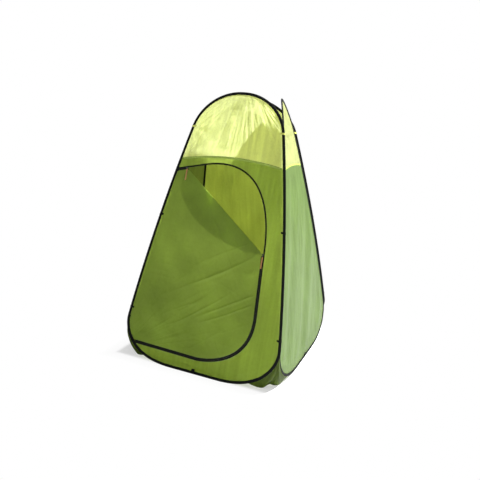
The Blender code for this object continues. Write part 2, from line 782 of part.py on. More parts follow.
def place_on_joint(name, where, axis, things, angle=0.0):
    """An empty on a joint's axis that carries the pieces which turn there, turned by an angle."""
    empty = bpy.data.objects.new(name, None)
    bpy.context.scene.collection.objects.link(empty)
    facing = axis.to_track_quat("Z", "Y").to_matrix().to_4x4()
    rest = Matrix.Translation(where) @ facing
    for thing in things:
        thing.parent = empty
        thing.matrix_parent_inverse = rest.inverted()
    empty.matrix_world = rest @ Matrix.Rotation(angle, 4, "Z")
    return empty


def door_axis():
    """A straight line outside the bowed strip: a point on it and its way up."""
    (u_low, z_low), (u_high, z_high) = hinge_line()
    low = FRONT.point(u_low, z_low)
    high = FRONT.point(u_high, z_high)
    middle = FRONT.point((u_low + u_high) / 2, (z_low + z_high) / 2)
    up = (high - low).normalized()
    normal = FRONT.normal((z_low + z_high) / 2)
    bulge = (middle - (low + high) / 2).dot(normal)
    return low + normal * (bulge + FABRIC + GAP), up


def fold_axis():
    """The flap's fold, just inside the fabric: a point on it and its way up to the left."""
    high, low = chord()
    start = FRONT.point(low.x, low.y, -FABRIC / 2)
    end = FRONT.point(high.x, high.y, -FABRIC / 2)
    return start, (end - start).normalized()


def box(bm, low, high):
    """Adds a box between two corners."""
    made = bmesh.ops.create_cube(bm, size=1.0)
    size = [top - bottom for bottom, top in zip(low, high)]
    middle = [(top + bottom) / 2 for bottom, top in zip(low, high)]
    bmesh.ops.scale(bm, vec=size, verts=made["verts"])
    bmesh.ops.translate(bm, vec=middle, verts=made["verts"])
    return made["verts"]


def slider_solid(name, metal):
    """A zip slider: two plates joined by a post between the rows of teeth, and a bridge for the pull.

    Its own axes: X across the zip, Y along it towards the open end, Z out of the wall.
    """
    plate_low = TEETH_HALF + PLATE_CLEAR
    plate_high = plate_low + PLATE_THICK
    half_length = PLATE_LENGTH / 2
    half_width = PLATE_WIDTH / 2
    bm = bmesh.new()
    upper = box(bm, (-half_width, -half_length, plate_low), (half_width, half_length, plate_high))
    lower = box(bm, (-half_width, -half_length, -plate_high), (half_width, half_length, -plate_low))
    for vert in upper + lower:
        if vert.co.y < 0:
            vert.co.x *= PLATE_TAPER
    plates = add_object(name, bm, metal, smooth=False)
    pieces = []
    post_end = half_length - POST_LENGTH
    bm = bmesh.new()
    post_half = POST_WIDTH / 2
    post_top = plate_high - SMALL
    box(bm, (-post_half, post_end, -post_top), (post_half, half_length - SMALL, post_top))
    pieces.append(add_object(f"{name}_post", bm, metal, smooth=False))
    arch_low = plate_high - PLATE_THICK / 2
    arch_top = plate_high + BRIDGE_RISE + BRIDGE_THICK
    arch_half = half_length * BRIDGE_SPAN
    bm = bmesh.new()
    profile = [
        (-arch_half, arch_low),
        (-arch_half, arch_top - BRIDGE_THICK),
        (-arch_half + BRIDGE_THICK, arch_top),
        (arch_half - BRIDGE_THICK, arch_top),
        (arch_half, arch_top - BRIDGE_THICK),
        (arch_half, arch_low),
        (arch_half - BRIDGE_THICK, arch_low),
        (arch_half - BRIDGE_THICK, arch_top - BRIDGE_THICK),
        (-arch_half + BRIDGE_THICK, arch_top - BRIDGE_THICK),
        (-arch_half + BRIDGE_THICK, arch_low),
    ]
    corners = [bm.verts.new((-BRIDGE_WIDTH / 2, y, z)) for y, z in profile]
    side = bm.faces.new(corners)
    grown = bmesh.ops.extrude_face_region(bm, geom=[side])
    moved = [part for part in grown["geom"] if isinstance(part, bmesh.types.BMVert)]
    bmesh.ops.translate(bm, vec=(BRIDGE_WIDTH, 0.0, 0.0), verts=moved)
    pieces.append(add_object(f"{name}_bridge", bm, metal, smooth=False))
    for piece in pieces:
        piece.hide_render = True
        piece.display_type = "WIRE"
        piece.parent = plates
        joining = plates.modifiers.new(piece.name, "BOOLEAN")
        joining.operation = "UNION"
        joining.object = piece
    return plates, plate_high


def pull_solid(name, leather, shift):
    """A pull: a bail with a square window, and a flat tab below it.

    It hangs along -Y with Z out of the wall. Its origin is the middle of the bar that runs under the
    slider's bridge, which is the bail's top bar, or with a shift its side bar.
    """
    half = PULL_WIDTH / 2
    wide = half * TAB_FLARE
    bar = PIN_RADIUS
    outline = [
        (-half, bar),
        (-half, -BAIL_LENGTH),
        (-wide, -BAIL_LENGTH - half),
        (-wide, -PULL_LENGTH + half),
        (-half * TAB_TIP, -PULL_LENGTH),
        (half * TAB_TIP, -PULL_LENGTH),
        (wide, -PULL_LENGTH + half),
        (wide, -BAIL_LENGTH - half),
        (half, -BAIL_LENGTH),
        (half, bar),
    ]
    window = [
        (-half + PULL_THICK, -bar),
        (half - PULL_THICK, -bar),
        (half - PULL_THICK, -BAIL_LENGTH + PULL_THICK),
        (-half + PULL_THICK, -BAIL_LENGTH + PULL_THICK),
    ]
    bm = bmesh.new()
    rim = [bm.verts.new((x + shift[0], y + shift[1], -bar)) for x, y in outline]
    hole = [bm.verts.new((x + shift[0], y + shift[1], -bar)) for x, y in window]
    bm.faces.new((rim[0], rim[1], hole[3], hole[0]))
    bm.faces.new((rim[-1], rim[0], hole[0], hole[1]))
    bm.faces.new((rim[-2], rim[-1], hole[1], hole[2]))
    bm.faces.new((rim[1], rim[-2], hole[2], hole[3]))
    bm.faces.new(rim[1:-1])
    grown = bmesh.ops.extrude_face_region(bm, geom=bm.faces[:])
    moved = [part for part in grown["geom"] if isinstance(part, bmesh.types.BMVert)]
    bmesh.ops.translate(bm, vec=(0.0, 0.0, 2 * bar), verts=moved)
    return add_object(name, bm, leather, smooth=False)


def zip_frame(index, ahead):
    """The place of a slider on the door's line, its way to the open end, and the wall's normal there."""
    u, z = DOOR_LINE[index]
    place = FRONT.point(u, z)
    other = FRONT.point(*DOOR_LINE[index + ahead])
    normal = FRONT.normal(z)
    along = (other - place).normalized()
    along = (along - normal * along.dot(normal)).normalized()
    return place, along, normal


def make_sliders(metal, leather):
    """The two sliders, where the open stretch of the zip begins and ends, with their hanging pulls."""
    beside_bar = (PULL_WIDTH / 2 - PULL_THICK / 2, PIN_RADIUS + GAP + BRIDGE_WIDTH)
    for name, index, ahead, shift in (
        ("top", FIRST_OPEN, 1, beside_bar),
        ("side", LAST_OPEN, -1, (0.0, 0.0)),
    ):
        place, along, normal = zip_frame(index, ahead)
        across = along.cross(normal)
        turn = Matrix((across, along, normal)).transposed().to_4x4()
        slider, plate_high = slider_solid(f"zip_slider_{name}", metal)
        slider.matrix_world = Matrix.Translation(place) @ turn
        pull = pull_solid(f"zip_pull_{name}", leather, shift)
        pin = place + normal * (plate_high + BRIDGE_RISE / 2)
        down = Vector((0.0, 0.0, -1.0))
        hang = (down - normal * down.dot(normal)).normalized()
        cross = normal.cross(hang)
        hanging = Matrix((cross, -hang, normal)).transposed().to_4x4()
        pull.matrix_world = Matrix.Translation(pin) @ hanging


def corner_walls():
    """Each corner's name, its wall whose hoop stands proud, that wall's side there, and its other wall."""
    return (
        ("front_right", FRONT, 1, RIGHT),
        ("back_right", BACK, -1, RIGHT),
        ("back_left", BACK, 1, LEFT),
        ("front_left", FRONT, -1, LEFT),
    )


def corner_section(proud, side, tucked, z, low, high):
    """A strap round a corner's two beads at height z, from low to high off the fabric, as world points."""
    edge = HOOP_OVERHANG + BINDING_OUTSIDE + GAP
    rings = []
    for out, grown in ((low, 0.0), (high, high - low)):
        beyond = proud.half(z) + edge + grown
        rings.append([
            proud.point(side * (proud.half(z) - TAB_REACH), z, out),
            proud.point(side * beyond, z, out),
            proud.point(side * beyond, z, -TAB_TURN),
            tucked.point(-side * (tucked.half(z) - TAB_REACH), z, out),
        ])
    inner, outer = rings
    return inner + outer[::-1]


def make_corner_tabs(black, pale):
    """Fabric tabs sewn over both bindings at each corner; the top ones are pale, the others black."""
    low = BEAD_HALF + GAP
    high = low + TAB_THICK
    for name, proud, side, tucked in corner_walls():
        for level, height in TAB_LEVELS.items():
            material = pale if level == "high" else black
            rings = [
                corner_section(proud, side, tucked, height + step * TAB_HEIGHT / 2, low, high)
                for step in (-1, 0, 1)
            ]
            loft(f"corner_tab_{name}_{level}", rings, False, material)


def make_gussets(dark):
    """The slack corner fabric between two round feet, which sags in two lobes onto the ground."""
    behind = BEAD_HALF + GAP + GUSSET_THICK / 2
    for name, proud, side, tucked in corner_walls():
        start = gusset_edge(proud, side, GUSSET_PROUD, -behind)
        end = gusset_edge(tucked, -side, HOOP_SET - behind, GUSSET_TUCKED)
        way = (proud.turn @ Vector((0, -1, 0)) + tucked.turn @ Vector((0, -1, 0))).normalized()
        drop = (start[-1].z + end[-1].z) / 2 - GUSSET_LIFT

        def surface(across, down, start=start, end=end, way=way, drop=drop):
            point = at_share(start, down).lerp(at_share(end, down), across)
            swell = math.sin(math.pi * across) * down
            lobes = swell * (1 - math.cos(4 * math.pi * across)) / 2
            sag = 1 - (1 - across) ** GUSSET_SAG - across**GUSSET_SAG
            point += way * (GUSSET_BULGE * swell + GUSSET_FOLD * lobes)
            point.z -= drop * sag * down**2
            return point

        def place(x, y, out, surface=surface):
            across = (x + 1) / 2
            down = (1 - y) / 2
            point = surface(across, down)
            aside = surface(across + SMALL, down) - surface(across - SMALL, down)
            upward = surface(across, down - SMALL) - surface(across, down + SMALL)
            return point + aside.cross(upward).normalized() * out

        sheet(f"corner_gusset_{name}", place, GUSSET_COLUMNS, len(start) - 1, dark, GUSSET_THICK)


def gusset_edge(wall, side, rim, out):
    """Points down a binding's edge to the ground, rim outside its wire and out off the fabric."""
    path = hoop_path(wall)
    frames = frames_along(wall, path, True)
    edge = []
    for (u, z), (point, normal, across) in zip(path, frames):
        if side * u > GUSSET_FOOT * wall.wire(z) and z < GUSSET_TOP:
            edge.append((z, point + across * rim + normal * out))
    edge.sort(key=lambda pair: -pair[0])
    return [point for _, point in edge]


def at_share(points, share):
    """A point at a share of a list's steps, a little past either end too."""
    place = share * (len(points) - 1)
    index = min(max(int(place), 0), len(points) - 2)
    return points[index].lerp(points[index + 1], place - index)


def make_ground_loops(black):
    """A folded webbing loop for a ground peg, sewn to the middle of each binding's foot."""
    inner = BEAD_HALF + GAP
    outer = inner + LOOP_THICK
    middle = HOOP_LIFT + LOOP_HEIGHT / 2
    for wall in WALLS:
        half = LOOP_HEIGHT / 2
        profile = [
            (-half, inner),
            (half - LOOP_THICK, inner),
            (half - LOOP_THICK, outer),
            (0.0, outer + LOOP_THICK / 2),
            (-half, outer - LOOP_THICK / 2),
        ]
        path = [(-LOOP_WIDTH / 2, middle), (0.0, middle), (LOOP_WIDTH / 2, middle)]
        sweep(f"peg_loop_{wall.name}", wall, path, profile, False, black)


def main():
    clear_scene()
    steel = make_material("spring_steel")
    black = make_material("black_binding")
    green = make_material("green_fabric")
    yellow = make_material("yellow_fabric")
    dark = make_material("dark_green_fabric")
    zip_black = make_material("zip_black")
    metal = make_material("slider_metal")
    leather = make_material("pull_brown")
    make_hoops(steel)
    make_bindings(black)
    make_wall_panels(green, yellow)
    make_seam_tapes(green)
    make_front_surround(green)
    make_door_strip(green)
    door = make_door(green)
    flap = make_flap(green)
    short, long, flap_tape = make_zips(zip_black)
    place_on_joint("door_axis", *door_axis(), [door, short, long])
    place_on_joint("flap_axis", *fold_axis(), [flap, flap_tape], FLAP_FOLD)
    make_sliders(metal, leather)
    make_corner_tabs(black, yellow)
    make_gussets(dark)
    make_ground_loops(black)


main()
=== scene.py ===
"""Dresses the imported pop-up toilet tent: cloth walls, piped edges, the zipped door and its hardware."""

import math

import bmesh
import bpy
import numpy as np
from bpy.props import FloatProperty, FloatVectorProperty, PointerProperty
from mathutils import Matrix, Vector


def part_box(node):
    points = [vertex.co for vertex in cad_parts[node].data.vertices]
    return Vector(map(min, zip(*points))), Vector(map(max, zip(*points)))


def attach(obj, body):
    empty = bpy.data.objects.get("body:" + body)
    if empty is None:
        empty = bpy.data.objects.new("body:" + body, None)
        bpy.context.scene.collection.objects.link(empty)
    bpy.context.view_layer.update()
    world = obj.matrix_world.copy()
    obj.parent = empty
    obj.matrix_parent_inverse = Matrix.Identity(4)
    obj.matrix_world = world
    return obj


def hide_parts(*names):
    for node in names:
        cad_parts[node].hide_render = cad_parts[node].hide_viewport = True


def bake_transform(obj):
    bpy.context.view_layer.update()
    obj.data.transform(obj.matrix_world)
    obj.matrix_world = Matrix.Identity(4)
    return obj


bl_info = {
    "name": "Pop-up toilet tent",
    "version": (1, 0, 0),
    "blender": (4, 5, 0),
    "location": "3D View > Sidebar > Tent",
    "description": "Builds a pop-up toilet tent's cloth, piping, zip and corner pieces on its frame",
    "category": "Object",
}

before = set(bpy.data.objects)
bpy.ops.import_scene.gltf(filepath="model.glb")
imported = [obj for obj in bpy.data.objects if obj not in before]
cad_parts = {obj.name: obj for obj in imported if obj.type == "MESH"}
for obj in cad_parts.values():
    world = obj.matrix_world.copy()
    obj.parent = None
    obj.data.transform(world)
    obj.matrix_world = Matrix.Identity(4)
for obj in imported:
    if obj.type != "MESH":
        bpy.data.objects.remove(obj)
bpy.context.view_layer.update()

# The tent's own form, as its solids have it, in metres
HEIGHT = 1.900
HALF_WIDTH = (0.609, 0.278, 0.0376)
HALF_DEPTH = (0.649, 0.045, 0.005)
FOOT_FLAT = 0.25
FOOT_HEIGHT = 0.280
FOOT_POWERS = (2.56, 1.76)
CROWN_HEIGHT = 0.264
CROWN_POWERS = (2.18, 2.30)
CROWN_START = HEIGHT - CROWN_HEIGHT
CROWN_LEAN = {"front": 0.0, "right": 0.018, "back": 0.020, "left": 0.060}
CROWN_SINK = {"front": 0.0, "right": 0.025, "back": 0.028, "left": 0.064}
HOOP_LIFT = 0.0040
BEAD_HALF = 0.0044
BINDING_OUTSIDE = 0.0048
BINDING_REACH = 0.0150
HOOP_SET = BEAD_HALF + 0.0010 + BINDING_OUTSIDE
HOOP_OVERHANG = 0.0080
LEG_HALF = 0.0018
LEG_WALL = 0.0008
FABRIC_INSET = 0.0100
SEAM_SIDE = 1.414
SEAM_RISE = {"front": 0.036, "right": 0.014, "back": 0.036, "left": 0.014}
SEAM_GAP = 0.0010
FOLD_SPACING = 0.300

# How far inside its bindings a wall's folds, creases and drawn creases begin, and are whole
FOLD_FADE = (0.012, 0.110)
CREASE_FADE = (0.010, 0.060)
DRAWN_FADE = (0.004, 0.040)

# The door in the front wall, as (u, z) along and up the wall
DOOR_TOP = (-0.200, 1.382)
DOOR_TOP_OUTER = 1.336
DOOR_SIDE = ((0.3506, 0.900), (0.3767, 0.450))
DOOR_FOOT = (0.0, 0.1015)
DOOR_FOOT_OUTER = 0.112
TOP_PULLS = (0.460, 0.213)
FOOT_PULLS = (0.3345, 0.030)
OPEN_FROM = 0.069
OPEN_TO = 0.852
FLAP_FOLD = math.radians(130)
FLAP_MARGIN = 0.03
ZIP_START = 0.0015
HINGE_SET = 0.004
TAPE_WIDTH = 0.0115
ZIP_EDGE = 0.0006
ZIP_END_GAP = 0.006
GAP = 0.0003
STEPS = 60
HOOP_POINTS = 360
FLAP_POINTS = 200

# How much more than the tape's width the door's fold stops short of its lower end
FOLD_SHORT = 0.0016

# The door's width and height and the flap's length, roughly, for how far a point is from their edges
DOOR_SPAN = (0.8, 0.9)
FLAP_SPAN = 0.8

# A step across and up from the hinge's middle, for where the door's cloth would wholly leave the wall's body;
# the door step works out this point but doesn't use it
HINGE_BEND = (0.045, -0.008)

# The flap's cloth turns over this width, which starts this far before its fold
FLAP_BEND = 0.012
FLAP_BEND_BEFORE = 0.004

TAB_LEVELS = {"high": 1.643, "mid": 1.011, "low": 0.340}
TAB_REACH = 0.020
TAB_TURN = 0.0035
GUSSET_TOP = 0.235
GUSSET_PROUD = 0.0020
GUSSET_TUCKED = 0.0034
GUSSET_FOOT = 0.66
GUSSET_LIFT = 0.0012
GUSSET_SWELL = 0.018
GUSSET_LOBES = 0.026
GUSSET_PATTERN = (0.36, 0.32)

# A notch in a gusset's sag: its depth, its middle and its spread across the gusset
GUSSET_NOTCH = (0.30, 0.52, 0.07)

# The widths about a corner's middle that bend_at_corner is given for a tab and a gusset; it bends nothing
TAB_BEND = 0.008
GUSSET_BEND = 0.012

# Straps, pulls and their wire bails
STRAP_CLEAR = 0.0008
STRAP_SINK = 0.0020
TAB_KNOTS = (0.0, 0.42, 0.53, 0.62, 1.0)
TAB_RUN = 0.062
PEG_WIDTH = 0.024
PULL_FROM = 0.013
PULL_END = 0.001
PULL_HALF = 0.0046
BAIL_HALF = 0.0037
BAIL_LENGTH = 0.0118
BAIL_WIRE = 0.0007
BAIL_POINTS = 48

# The thickness of a tape or strap, a seam, a gusset and a pull
STRAP_THICK = 0.0009
SEAM_THICK = 0.0006
GUSSET_THICK = 0.0007
PULL_THICK = 0.0014

# The sizes that the sheets were cut to, width by length
LOWER_LENGTH = 1.53
UPPER_LENGTH = 0.52
SURROUND_CUT = (0.25, 3.30)
HINGE_CUT = (0.018, 1.12)
DOOR_CUT = (0.93, 1.31)
FLAP_CUT = (0.80, 0.32)
STRAP_LENGTH = 0.070
PEG_CUT = (0.0245, STRAP_LENGTH)
GUSSET_CUT = (0.42, 0.36)
SEAM_EASE = 1.02
TAPE_EASE = 1.03

# Columns and rows of each sheet's grid
GRIDS = {
    "lower": (120, 150),
    "upper": (150, 110),
    "surround": (560, 40),
    "hinge": (6, 120),
    "door": (220, 240),
    "flap": (110, 50),
    "seam": (160, 6),
    "tab": (40, 12),
    "peg": (12, 40),
    "gusset": (90, 60),
    "pull": (60, 10),
}
ZIP_ROWS = 4
BAIL_ROWS = 10

# The way a wall's folds lean, in radians, and how strongly its columns crowd towards its edges
LEANS = {"front": 0.5, "right": -0.3, "back": 0.4, "left": 0.2}
CROWD = 0.86 * math.pi / 2

# The share of painted pleat light and shade, as long streaks, in each cloth's tone
PAINTED_PLEAT_STREAKS = {"door": 0.06, "surround": 0.45, "side": 0.35, "yellow": 0.40, "side_yellow": 0.20, "gusset": 0.20}
STITCH_PITCH = 0.0032
STITCH_SHARE = 0.72
THREAD_HALF = 0.0004
ZIP_BLACK = (0.004, 0.005, 0.003)
ZIP_THREAD = (0.010, 0.011, 0.007)
TEETH_BLACK = (0.005, 0.006, 0.004)
PALE_TAB = (0.42, 0.45, 0.10)
STEEL = (0.42, 0.42, 0.43)

# Each lamp's name, place, the point that it faces, and its width
LAMPS = (
    ("key", (3.785, 3.065, 7.547), (0, 0, 1.2), 0.20),
    ("inside", (0.04, 0.30, 0.68), (0, -0.5, 0.85), 0.02),
    ("fill", (-0.6, -3.4, 3.9), (0, -0.3, 1.2), 2.5),
)
CAMERA_PLACE = (1.5314, -3.6731, 1.8670)
CAMERA_YAW = 0.3898
CAMERA_PITCH = 0.2577
CAMERA_ROLL = 0.0646
SENSOR_WIDTH = 36.0
FLOOR_RADIUS = 40.0

# The floor's share of white to the camera, at distances out from the middle along x or y, the larger of
# the two. It hides the tent's shadow except close to its feet
FLOOR_WHITE = ((0.62, 0.50), (0.65, 0.93), (0.74, 1.00))


def tapered(sizes):
    low, high, bow = sizes

    def at(z):
        rise = z / HEIGHT
        return low + (high - low) * rise + 4 * bow * rise * (1 - rise)

    return at


class Wall:
    """One side of the tent. A place on it is (u, z, out); arrays work throughout."""

    def __init__(self, name, quarter_turns, half, away, hoop_out):
        self.name = name
        self.body = f"{name}_wall"
        self.half = half
        self.upright = away
        self.hoop_out = hoop_out
        self.top = HEIGHT - CROWN_SINK[name]
        turn = math.radians(90 * quarter_turns)
        self.turn = np.array(
            [[math.cos(turn), -math.sin(turn), 0], [math.sin(turn), math.cos(turn), 0], [0, 0, 1]]
        ).round(12)

    def away(self, z):
        rise = np.maximum(0.0, z - CROWN_START) / (self.top - HOOP_LIFT - CROWN_START)
        return self.upright(z) - CROWN_LEAN[self.name] * rise**2

    def normal(self, z):
        z = np.asarray(z, float)
        slope = (self.away(z + 1e-5) - self.away(z - 1e-5)) / 2e-5
        normal = np.stack([np.zeros_like(z), -np.ones_like(z), -slope], -1)
        return normal / np.linalg.norm(normal, axis=-1, keepdims=True) @ self.turn.T

    def point(self, u, z, out=0.0):
        u, z, out = np.broadcast_arrays(np.asarray(u, float), z, out)
        flat = np.stack([u, -self.away(z), z], -1) @ self.turn.T
        return flat + self.normal(z) * out[..., None]

    def wire(self, z):
        return self.half(z) + self.hoop_out

    def edge(self, z):
        return self.wire(z) - FABRIC_INSET


WIDTH = tapered(HALF_WIDTH)
DEPTH = tapered(HALF_DEPTH)
FRONT = Wall("front", 0, WIDTH, DEPTH, HOOP_OVERHANG)
RIGHT = Wall("right", 1, DEPTH, WIDTH, -HOOP_SET)
BACK = Wall("back", 2, WIDTH, DEPTH, HOOP_OVERHANG)
LEFT = Wall("left", 3, DEPTH, WIDTH, -HOOP_SET)
WALLS = (FRONT, RIGHT, BACK, LEFT)

# Each corner's name, its wall whose hoop stands proud, that wall's side there, its other wall, and the two
# walls in the order of the joint that folds them, or none where no joint does
CORNERS = (
    ("front_right", FRONT, 1, RIGHT, (FRONT, RIGHT)),
    ("back_right", BACK, -1, RIGHT, (RIGHT, BACK)),
    ("back_left", BACK, 1, LEFT, None),
    ("front_left", FRONT, -1, LEFT, (FRONT, LEFT)),
)


def foot_height(share, inset=0.0):
    low = HOOP_LIFT + inset
    along = np.clip((np.abs(share) - FOOT_FLAT) / (1 - FOOT_FLAT), 0, 1)
    return FOOT_HEIGHT - (FOOT_HEIGHT - low) * (1 - along ** FOOT_POWERS[0]) ** (1 / FOOT_POWERS[1])


def foot_share(z, inset=0.0):
    drop = np.clip((FOOT_HEIGHT - z) / (FOOT_HEIGHT - HOOP_LIFT - inset), 0, 1)
    return FOOT_FLAT + (1 - FOOT_FLAT) * (1 - drop ** FOOT_POWERS[1]) ** (1 / FOOT_POWERS[0])


def crown_height(wall, share, inset=0.0):
    top = wall.top - HOOP_LIFT - inset
    rise = (1 - np.clip(np.abs(share), 0, 1) ** CROWN_POWERS[0]) ** (1 / CROWN_POWERS[1])
    return CROWN_START + (top - CROWN_START) * rise


def seam_height(wall, share):
    return SEAM_SIDE + SEAM_RISE[wall.name] * (1 - share**2)


def run_of(line):
    """The length along a line at each of its points."""
    return np.concatenate([[0], np.cumsum(np.linalg.norm(np.diff(line, axis=0), axis=1))])


def sampled(line, run, at):
    """The points of a line where its run reaches each value."""
    return np.stack([np.interp(at, run, line[:, k]) for k in range(line.shape[1])], -1)


def spaced(line, count):
    """Points at even lengths along a line of (u, z) or (x, y, z) points."""
    line = np.asarray(line, float)
    run = run_of(line)
    return sampled(line, run, np.linspace(0, run[-1], count))


def along(line, share):
    """The points at an array of shares of a line's length."""
    line = np.asarray(line, float)
    run = run_of(line)
    return sampled(line, run, np.clip(share, 0, 1) * run[-1])


def hoop_line(wall, count):
    """The hoop's wire as (u, z), evenly spaced from the middle of its foot, up the right side, closed."""
    turn = np.linspace(0, math.pi / 2, STEPS)
    share = FOOT_FLAT + (1 - FOOT_FLAT) * np.sin(turn) ** (2 / FOOT_POWERS[0])
    z = FOOT_HEIGHT - (FOOT_HEIGHT - HOOP_LIFT) * np.cos(turn) ** (2 / FOOT_POWERS[1])
    foot = np.stack([share * wall.wire(z), z], -1)
    z = np.linspace(FOOT_HEIGHT, CROWN_START, STEPS)[1:-1]
    side = np.stack([wall.wire(z), z], -1)
    share = np.cos(turn) ** (2 / CROWN_POWERS[0])
    z = CROWN_START + (wall.top - HOOP_LIFT - CROWN_START) * np.sin(turn) ** (2 / CROWN_POWERS[1])
    crown = np.stack([share * wall.wire(z), z], -1)
    right = np.concatenate([[[0, HOOP_LIFT]], foot, side, crown])
    left = right[-2::-1] * (-1, 1)
    return spaced(np.concatenate([right, left]), count + 1)[:-1]


def carried(wall, line, closed=False):
    """For each point of a line on the wall: its place, the wall's normal, and the way across the line."""
    line = np.asarray(line, float)
    place = wall.point(line[:, 0], line[:, 1])
    normal = wall.normal(line[:, 1])
    if closed:
        way = np.roll(place, -1, 0) - np.roll(place, 1, 0)
    else:
        way = np.gradient(place, axis=0)
    across = np.cross(way, normal)
    return place, normal, across / np.linalg.norm(across, axis=1, keepdims=True)


def bezier(start, pull_in, pull_out, end, count):
    t = np.linspace(0, 1, count)[:, None]
    s = 1 - t
    return s**3 * start + 3 * s * s * t * pull_in + 3 * s * t * t * pull_out + t**3 * end


def stepped(start, end, length):
    start, end = np.asarray(start, float), np.asarray(end, float)
    return start + (end - start) / np.linalg.norm(end - start) * length


def inside_edge(z):
    """Where the front binding's legs end on its left side."""
    reach = BINDING_REACH + GAP
    share = np.where(z < FOOT_HEIGHT, foot_share(z, reach), 1.0)
    return -share * (FRONT.wire(z) - reach)


def door_line():
    """The zip's line in the front wall, in three stretches: closed at the top, open, closed down the side."""
    top_outer = np.array([inside_edge(DOOR_TOP_OUTER) + ZIP_START, DOOR_TOP_OUTER])
    foot_outer = np.array([inside_edge(DOOR_FOOT_OUTER) + ZIP_START, DOOR_FOOT_OUTER])
    high, low = np.array(DOOR_SIDE)
    top = bezier(
        np.array(DOOR_TOP),
        stepped(DOOR_TOP, top_outer, -TOP_PULLS[0]),
        stepped(high, low, -TOP_PULLS[1]),
        high,
        STEPS,
    )
    foot = bezier(
        low,
        stepped(low, high, -FOOT_PULLS[0]),
        stepped(DOOR_FOOT, foot_outer, -FOOT_PULLS[1]),
        np.array(DOOR_FOOT),
        STEPS,
    )
    opened = high + (low - high) * (high[1] - OPEN_TO) / (high[1] - low[1])
    stretches = (
        [top_outer, stepped(top_outer, DOOR_TOP, OPEN_FROM)],
        np.concatenate([top, [opened]]),
        np.concatenate([foot, [foot_outer]]),
    )
    return [np.array(stretch) for stretch in stretches]


ZIP_TOP, ZIP_OPEN, ZIP_SIDE = door_line()
ZIP_OPEN = np.concatenate([ZIP_TOP[-1:], ZIP_OPEN])
ZIP_SIDE = np.concatenate([ZIP_OPEN[-1:], ZIP_SIDE])
ZIP_LINE = np.concatenate([ZIP_TOP, ZIP_OPEN[1:], ZIP_SIDE[1:]])
CHORD = (ZIP_OPEN[0], ZIP_OPEN[-1])
STRETCH = math.hypot(1, (HALF_DEPTH[0] - HALF_DEPTH[1]) / HEIGHT)


def beside(line, distance):
    """A line moved sideways in the front wall's plane; positive is away from the door."""
    way = np.gradient(line, axis=0) * (1, STRETCH)
    way /= np.linalg.norm(way, axis=1, keepdims=True)
    return line + np.stack([-way[:, 1], way[:, 0] / STRETCH], -1) * distance


# Cloth heights


def lattice(x, y, seed):
    """A smooth random height from -1 to 1, one bump to a unit."""

    def corner(i, j):
        value = np.sin(i * 127.1 + j * 311.7 + seed * 74.7) * 43758.5453
        return 2 * (value - np.floor(value)) - 1

    i, j = np.floor(x), np.floor(y)
    a, b = x - i, y - j
    a, b = a * a * (3 - 2 * a), b * b * (3 - 2 * b)
    low = corner(i, j) * (1 - a) + corner(i + 1, j) * a
    high = corner(i, j + 1) * (1 - a) + corner(i + 1, j + 1) * a
    return low * (1 - b) + high * b


def fade(distance, reach):
    """From 0 where a height begins to 1 where it is whole."""
    start, full = reach
    return np.clip((distance - start) / (full - start), 0, 1) ** 1.5


def folds(u, z, lean, phase, depth):
    """The broad folds of a wall, as the solids have them."""
    turns = (u * math.cos(lean) + z * math.sin(lean)) / FOLD_SPACING
    wave = np.sin(math.tau * turns + phase) + 0.5 * np.sin(math.tau * 1.7 * turns + 2 * phase)
    return depth * wave / 1.5


def creases(u, z, lean, seed, depth):
    """Long thin creases that run at lean radians from upright, broken up at random."""
    across = u * math.cos(lean) + z * math.sin(lean)
    down = z * math.cos(lean) - u * math.sin(lean)
    drift = 0.35 * lattice(across * 7, down * 3, seed)
    ridge = 1 - np.abs(lattice(across * 22 + drift * 3, down * 4.5, seed + 1))
    here = np.clip(0.5 + lattice(across * 5, down * 2.5, seed + 2), 0, 1)
    return depth * (ridge**3 * here + 0.35 * lattice(across * 40, down * 14, seed + 3))


def fan(u, z, centre, count, reach, depth, phase):
    """Creases that spread from a point where the cloth is pulled."""
    du, dz = u - centre[0], z - centre[1]
    far = np.hypot(du, dz)
    turn = np.arctan2(dz, du)
    wave = np.sin(count * turn + phase) * np.exp(-((far / reach) ** 2))
    return depth * wave * np.clip(far / 0.04, 0, 1)


def pulled(u, z, centre, rays, near, reach, seed):
    """Sharp creases that run out from a point where the cloth is drawn up, from 0 to 1, strongest at near."""
    du, dz = u - centre[0], z - centre[1]
    far = np.hypot(du, dz)
    turn = np.arctan2(du, -dz)
    ridge = 1 - np.abs(lattice(turn * rays, far * 2.2, seed))
    finer = 1 - np.abs(lattice(turn * rays * 2.3, far * 4.0, seed + 1))
    here = np.clip(far / near, 0, 1) * np.exp(-((np.maximum(0, far - near) / reach) ** 2))
    return (ridge**4 + 0.5 * finer**4) * here


def dragged(u, z, tilt, middle, spread, spacing, seed):
    """Long creases side by side, tilt radians up from level, round a middle, from 0 to 1."""
    right, up = u - middle[0], z - middle[1]
    run = right * math.cos(tilt) + up * math.sin(tilt)
    across = up * math.cos(tilt) - right * math.sin(tilt)
    ridge = 1 - np.abs(lattice(run * 2.4, across / spacing, seed))
    return ridge**4 * np.exp(-((run / spread[0]) ** 2) - (across / spread[1]) ** 2)


def pleats(u, z, middle, half, spacing, seed):
    """Upright pleats about one line, from -1 to 1, that fade to both sides."""
    across = (u - middle + 0.03 * lattice(z * 3, u * 0, seed)) / spacing
    return lattice(across, z * 2.5, seed + 1) * np.exp(-(((u - middle) / half) ** 2))


